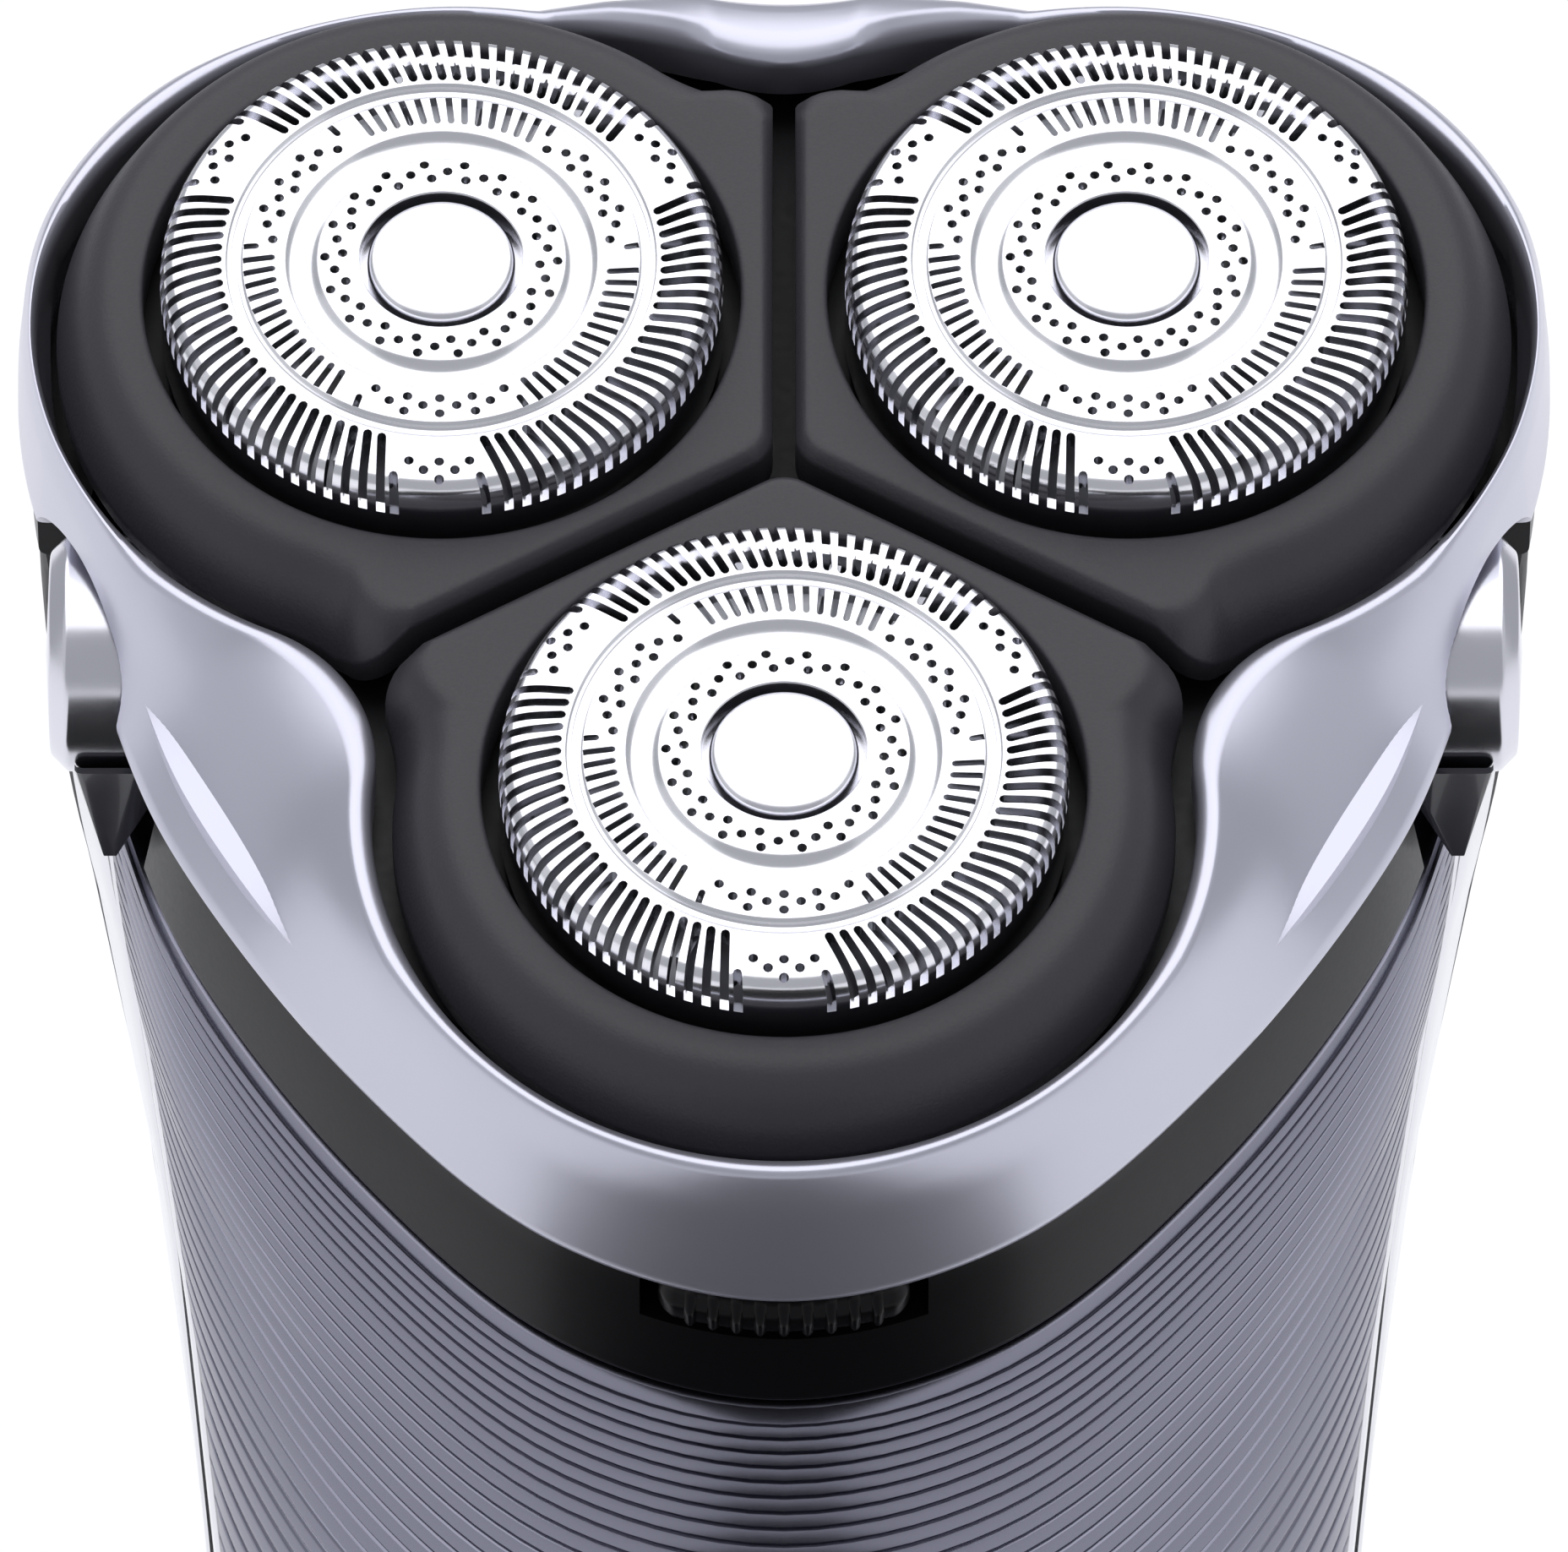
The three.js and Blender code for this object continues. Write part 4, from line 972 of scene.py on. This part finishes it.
# The tree sinks a narrow groove between each rib and the next. Ribs are counted by an attribute
# on the panel, and a second one fades them out at the edges and at the bottom of the field.
grooves, given = new_tree("rib_grooves", [
    ("Groove Depth", "NodeSocketFloat", 0.2), ("Groove Share", "NodeSocketFloat", 0.3),
    ("Lacquer", "NodeSocketMaterial", None)])
counted = add_node(grooves, "GeometryNodeInputNamedAttribute", {"data_type": "FLOAT", "Name": "ribs_down"})
strength = add_node(grooves, "GeometryNodeInputNamedAttribute",
                    {"data_type": "FLOAT", "Name": "rib_strength"})
nearest = add_node(grooves, "ShaderNodeMath", {"operation": "PINGPONG", 1: 0.5}, {0: counted.outputs[0]})
share = add_node(grooves, "ShaderNodeMath", {"operation": "DIVIDE", "use_clamp": True},
                 {0: nearest.outputs[0], 1: given.outputs["Groove Share"]})
wall = add_node(grooves, "ShaderNodeMath", {"operation": "SUBTRACT", 0: 1.0}, {1: share.outputs[0]})
curved = add_node(grooves, "ShaderNodeMath", {"operation": "POWER", 1: 1.6}, {0: wall.outputs[0]})
sunk = add_node(grooves, "ShaderNodeMath", {"operation": "MULTIPLY"},
                {0: curved.outputs[0], 1: given.outputs["Groove Depth"]})
faded = add_node(grooves, "ShaderNodeMath", {"operation": "MULTIPLY"},
                 {0: sunk.outputs[0], 1: strength.outputs[0]})
inward = add_node(grooves, "ShaderNodeMath", {"operation": "MULTIPLY", 1: -1.0}, {0: faded.outputs[0]})
outward = add_node(grooves, "GeometryNodeInputNormal")
offset = add_node(grooves, "ShaderNodeVectorMath", {"operation": "SCALE"},
                  {0: outward.outputs[0], "Scale": inward.outputs[0]})
moved = add_node(grooves, "GeometryNodeSetPosition", {},
                 {"Geometry": given.outputs["Geometry"], "Offset": offset.outputs[0]})
end_tree(grooves, moved, given.outputs["Lacquer"])

# Metallic grey lacquer on ABS: dark in itself, with fine aluminium flake under a satin clear coat.
FLAKE = 0.08
panel_lacquer, tree, shader = new_material("metallic_grey_lacquer", "#80808E", 0.24, 1.0)
flake = noise(tree, FLAKE)
vary_roughness(tree, shader, flake, 0.2, 0.28)

GROOVE_DEPTH, GROOVE_SHARE = 0.16, 0.15                 # mm, and part of a pitch
panel_mesh = with_nodes(panel_mesh, grooves, {
    "Groove Depth": GROOVE_DEPTH * MM, "Groove Share": GROOVE_SHARE, "Lacquer": panel_lacquer})

BUTTON_T = 2.8
BUTTON_RADIUS, BEZEL_RADIUS = 6.2, 7.8
button_face = handle_point(BUTTON_T, -90, 0)
above, below = handle_point(3, -90, 0), handle_point(2.6, -90, 0)
button_lean = math.atan2(above.y - below.y, above.z - below.z)
BUTTON = Matrix.Translation(button_face) @ Matrix.Rotation(math.pi / 2 - button_lean, 4, "X")
WINDOW_HALF, WINDOW_HALF_HIGH = 4.5, 1.5
window_z = button_face.z - 22
slot_half, slot_half_high = WINDOW_HALF + GAP, WINDOW_HALF_HIGH + GAP
window_slot = [(x * slot_half, window_z + z * slot_half_high)
               for x, z in ((-1, -1), (1, -1), (1, 1), (-1, 1))]
facing_front = Matrix.Rotation(math.pi / 2, 4, "X")
panel_mesh = combine("panel", panel_mesh, [
    rod("button hole", BEZEL_RADIUS + GAP, -6, 6, BUTTON, 96),
    prism(window_slot, 11, 23, facing_front)], "DIFFERENCE")
finish_piece("ribbed_front_panel", panel_mesh, panel_lacquer, "handle", ["front_shell"], 40)


# ---- Side strips ------------------------------------------------------------------------------
# A bright chromed strip runs up each side and thins to a point under the barrel. A groove is moulded
# down its middle, and its floor is painted black as shade.
STRIP_TOP = SHELL_TOP - 0.25
GROOVE_AT, GROOVE_WIDE, GROOVE_DEEP = 12.0, 1.8, 1.1    # degrees from the side, degrees, mm


def strip_section(t, inset, side):
    """One station of a strip: a soft crown in front of the groove and a flat one behind it."""
    front, middle = -strip_front(t), -min(GROOVE_AT, strip_front(t) * 0.5)
    turns = [(front, 0.35), (front + 0.3, 0.1), (front + 0.9, 0.0), (front + (middle - front) * 0.35, 0.02),
             (middle - GROOVE_WIDE, 0.28), (middle - GROOVE_WIDE * 0.75, GROOVE_DEEP), (middle, GROOVE_DEEP),
             (middle + 0.3, 0.12), (middle + 0.9, 0.0), (0.0, 0.0), (STRIP_REAR - 0.6, 0.0),
             (STRIP_REAR - 0.15, 0.1), (STRIP_REAR, 0.35)]
    outer = [(degrees, max(inset, drop)) for degrees, drop in turns]
    inner = [(degrees, WALL) for degrees in (STRIP_REAR, middle, front)]
    return [handle_point(t, degrees if side > 0 else 180 - degrees, drop) for degrees, drop in outer + inner]


strip_rows = even_rows(0, STRIP_TOP, 1.2, 0)
# Chromed ABS strip whose groove floor is painted black as shade: bright beside a painted dark line.
strip_chrome, tree, shader = new_material("chromed_strip_painted_groove_shade", "#E6E6EA", 0.12, 1.0)
STRIP_SHEEN = 2.0
sheen = noise(tree, STRIP_SHEEN)
vary_roughness(tree, shader, sheen, 0.09, 0.2)
painted_groove_shade = add_node(tree, "ShaderNodeAttribute", {"attribute_name": "painted_groove_shade"})
# The groove's floor is tinted near black: painted shade in the recess, in place of the chrome's reflections.
tint(tree, shader, painted_groove_shade.outputs["Fac"], "#E6E6EA", "#0B0B0C")
for name, side in (("right", 1), ("left", -1)):
    sections = [strip_section(t, inset, side) for t, inset in strip_rows]
    mesh = loft("strip", sections, False)
    # Marks the groove's floor rows, where the painted shade goes.
    painted_shade_masks = [1.0 if k % len(sections[0]) in (5, 6) else 0.0 for k in range(len(mesh.vertices))]
    mesh.attributes.new("painted_groove_shade", "FLOAT", "POINT").data.foreach_set("value", painted_shade_masks)
    finish_piece(f"side_strip_{name}", mesh, strip_chrome, "handle", [f"side_trim_{name}"], 30)


# ---- Rear shell -------------------------------------------------------------------------------
# The back of the handle is one satin black moulding, softly curved to sit in the palm.
def shell_start(t):
    return 7.5 if t > SHELL_TOP else STRIP_REAR + EDGE_GAP


def shell_end(t):
    return 180 - shell_start(t)


shell_rows = even_rows(0, REAR_TOP, 1.2, 90)
# Soft-touch coated ABS: black, matt and finely grained.
grip_rubber, tree, shader = new_material("soft_touch_black_grip", "#17171A", 0.5)
GRIP_GRAIN = 0.3
grain = noise(tree, GRIP_GRAIN, 3.0)
vary_roughness(tree, shader, grain, 0.44, 0.58)
emboss(tree, shader, grain, 0.25, 0.03)
finish_piece("rear_grip_shell", wall_plate("rear", shell_rows, shell_start, shell_end, 72), grip_rubber,
             "handle", ["rear_shell"])


# ---- Power button, bezel and charge light -----------------------------------------------------
# A satin black button stands in a chromed ring on the front panel. Below it a small clear window
# covers the charge light.
finish_piece("button_ring_bright", turned("bezel", rounded([
    (BUTTON_RADIUS + GAP, -2.2, 0), (BEZEL_RADIUS, -2.2, 0), (BEZEL_RADIUS, 0.2, 0.3),
    (BEZEL_RADIUS - 0.6, 0.4, 0.3), (BUTTON_RADIUS + GAP + 0.3, 0.3, 0.2), (BUTTON_RADIUS + GAP, 0, 0.2)]),
    BUTTON, 120), bright_trim, "handle", ["button_bezel"])
button_profile = rounded([
    (0, -1.6, 0), (BUTTON_RADIUS, -1.6, 0), (BUTTON_RADIUS, 0.35, 0.3), (BUTTON_RADIUS - 0.7, 0.7, 0.4),
    (3.5, 0.52, 1.5), (0, 0.45, 0)])
button_mesh = turned("button", button_profile, BUTTON, 120)
ring_groove = turned("groove", [(2.1, 0.2), (2.5, 0.2), (2.5, 1.2), (2.1, 1.2)], BUTTON, 72)
bar_groove = prism([(-0.2, 1.1), (0.2, 1.1), (0.2, 3.0), (-0.2, 3.0)], 0.2, 1.2, BUTTON)
finish_piece("power_button_black", combine("button", button_mesh, [ring_groove, bar_groove], "DIFFERENCE"),
             black_satin, "power_button", ["power_button"])

# Moulded polycarbonate: pale, glossy and slightly cloudy.
clear_window, tree, shader = new_material("clear_polycarbonate_window", "#D8DDE2", 0.06, 0.0, Coat_Weight=0.3)
WINDOW_HAZE = 1.0
haze = noise(tree, WINDOW_HAZE)
tint(tree, shader, haze.outputs[0], "#CFD5DB", "#E0E5EA")
window_front = handle_point(1.95, -90, 0).y + 0.1
corner = 0.6
window_outline = rounded([(x * WINDOW_HALF, window_z + z * WINDOW_HALF_HIGH, corner)
                          for x, z in ((-1, -1), (1, -1), (1, 1), (-1, 1))], 5)
window_outline = [(point.x, point.y) for point in window_outline]
window_mesh = eased_prism(window_outline, -window_front - 1.6, -window_front, 0.15, facing_front)
finish_piece("charge_light_window", window_mesh, clear_window, "handle", ["charge_window"])


# ---- Base and charging inlet ------------------------------------------------------------------
# A black moulded foot closes the bottom. The inlet for the charging plug is a separate insert
# with two brass contact pins.
# Moulded ABS: black, half matt, with a fine spark grain.
moulded_black, tree, shader = new_material("moulded_black_abs", "#1B1B1E", 0.45)
MOULD_GRAIN = 0.4
grain = noise(tree, MOULD_GRAIN, 3.0)
vary_roughness(tree, shader, grain, 0.38, 0.52)
emboss(tree, shader, grain, 0.2, 0.02)

INLET_Y, INLET_WIDE, INLET_DEEP, INLET_WALL, INLET_HIGH = 7.4, 11.0, 6.6, 1.1, 10.5
CONTACT_X, CONTACT_RADIUS, CONTACT_LOW, CONTACT_TOP = 2.6, 0.8, 4.8, 13.0


def foot_level(inset, z):
    level = []
    for k in range(120):
        point = handle_point(0, k * 3, inset)
        level.append((point.x, point.y, z))
    return level


def centre_level(z):
    return [(x * 0.02, y * 0.02, z) for x, y, height in foot_level(0, z)]


def slab(wide, deep, low, high, corner):
    """A straight block about the inlet's middle with rounded upright edges."""
    outline = rounded([(x * wide / 2, INLET_Y + y * deep / 2, corner)
                       for x, y in ((-1, -1), (1, -1), (1, 1), (-1, 1))], 4)
    return prism([(point.x, point.y) for point in outline], low, high)


foot_mesh = loft("foot", [centre_level(0), foot_level(2.4, 0), foot_level(1.9, 0.1), foot_level(1.1, 0.45),
                          foot_level(0.5, 1.0), foot_level(0.2, 1.6), foot_level(0, 2.3), foot_level(0, 2.6),
                          foot_level(0.15, 2.7), centre_level(2.7)], False)
foot_hole = slab(INLET_WIDE + 2 * (INLET_WALL + GAP), INLET_DEEP + 2 * (INLET_WALL + GAP), -2, 5, 0.4)
finish_piece("moulded_foot", combine("foot", foot_mesh, [foot_hole], "DIFFERENCE"), moulded_black,
             "handle", ["base_cap"])

insert_mesh = slab(INLET_WIDE + 2 * INLET_WALL, INLET_DEEP + 2 * INLET_WALL, 0.2, 0.2 + INLET_HIGH, 0.4)
insert_tools = [slab(INLET_WIDE, INLET_DEEP, -3, INLET_HIGH - 1.4, 1.2)]
for x in (-CONTACT_X, CONTACT_X):
    insert_tools.append(rod("bore", CONTACT_RADIUS + GAP, 4, 14, Matrix.Translation((x, INLET_Y, 0))))
finish_piece("inlet_insert_black", combine("insert", insert_mesh, insert_tools, "DIFFERENCE"), moulded_black,
             "handle", ["inlet_insert"])

# Turned brass: yellow, with faint tool marks.
plated_brass, tree, shader = new_material("machined_brass", "#C9A655", 0.28, 1.0)
LATHE_MARK = 0.3
lathe = noise(tree, LATHE_MARK)
vary_roughness(tree, shader, lathe, 0.22, 0.36)
for name, x in (("left", -CONTACT_X), ("right", CONTACT_X)):
    contact = turned("contact", rounded([
        (0, CONTACT_LOW, 0), (CONTACT_RADIUS, CONTACT_LOW, 0.5), (CONTACT_RADIUS, CONTACT_TOP, 0.1),
        (0, CONTACT_TOP, 0)]), Matrix.Translation((x, INLET_Y, 0)), 40)
    finish_piece(f"inlet_contact_{name}", contact, plated_brass, "handle", [f"inlet_pin_{name}"])


# ---- Retaining rings, carrier and chamber -----------------------------------------------------
# Black mouldings under the heads: a ring holds each guard in its segment, the carrier plate ties
# the three segments to the silver frame, and the chamber below catches the hair.
ring_profile = rounded([(11, -7.5, 0.15), (12.6, -7.5, 0.15), (12.6, -6.6, 0.15), (11, -6.6, 0.15)])
for i in LOBES:
    finish_piece(f"retaining_ring_{i}_black", turned("ring", ring_profile, lobe_frame(i), 96), moulded_black,
                 f"segment_{i}", [f"retaining_ring_{i}"])


def refinish(names, material):
    """Gives CAD nodes that keep their own shape a finished material."""
    for name in names:
        for held in frame["nodes"][name].material_slots:
            held.material = material


refinish(["carrier_plate", "hair_chamber", "gear_plate", "chassis"], moulded_black)


# ---- Cutters and drive ------------------------------------------------------------------------
# Ground steel cutters spin under the guards on nylon hubs. Three nylon gears drive them, turned
# by a brass pinion on the motor's shaft.
# Ground steel: grey, with a fine scattered scratch.
cutter_steel, tree, shader = new_material("ground_cutter_steel", "#B8B9BE", 0.3, 1.0)
GRIND_MARK = 0.15
grind = noise(tree, GRIND_MARK)
vary_roughness(tree, shader, grind, 0.24, 0.4)
refinish([f"cutter_{i}" for i in LOBES] + ["motor"], cutter_steel)

# Moulded natural nylon: off-white and slightly translucent.
nylon, tree, shader = new_material("moulded_natural_nylon", "#E4E2DA", 0.5, 0.0, Subsurface_Weight=0.1)
shader.inputs["Subsurface Scale"].default_value = 0.5 * MM
NYLON_FLOW = 0.8
flow = noise(tree, NYLON_FLOW)
vary_roughness(tree, shader, flow, 0.42, 0.56)
refinish([f"drive_gear_{i}" for i in LOBES] + [f"cutter_hub_{i}" for i in LOBES], nylon)
refinish(["motor_pinion"], plated_brass)


# ---- Battery and board ------------------------------------------------------------------------
# Two cells in shrink sleeve and a fibreglass circuit board are clipped to the chassis.
# PVC shrink sleeve: green, with slack wrinkles.
cell_sleeve, tree, shader = new_material("pvc_cell_sleeve", "#2F6E57", 0.4)
SLEEVE_WRINKLE = 2.5
wrinkle = noise(tree, SLEEVE_WRINKLE)
emboss(tree, shader, wrinkle, 0.2, 0.1)
refinish(["battery_cell_left", "battery_cell_right"], cell_sleeve)

# Solder-masked fibreglass: green, with the weave just showing.
board_green, tree, shader = new_material("solder_masked_fibreglass", "#1F5A35", 0.4)
BOARD_WEAVE = 0.5
weave = noise(tree, BOARD_WEAVE, 1.0)
tint(tree, shader, weave.outputs[0], "#1A4F2E", "#24643C")
refinish(["circuit_board"], board_green)
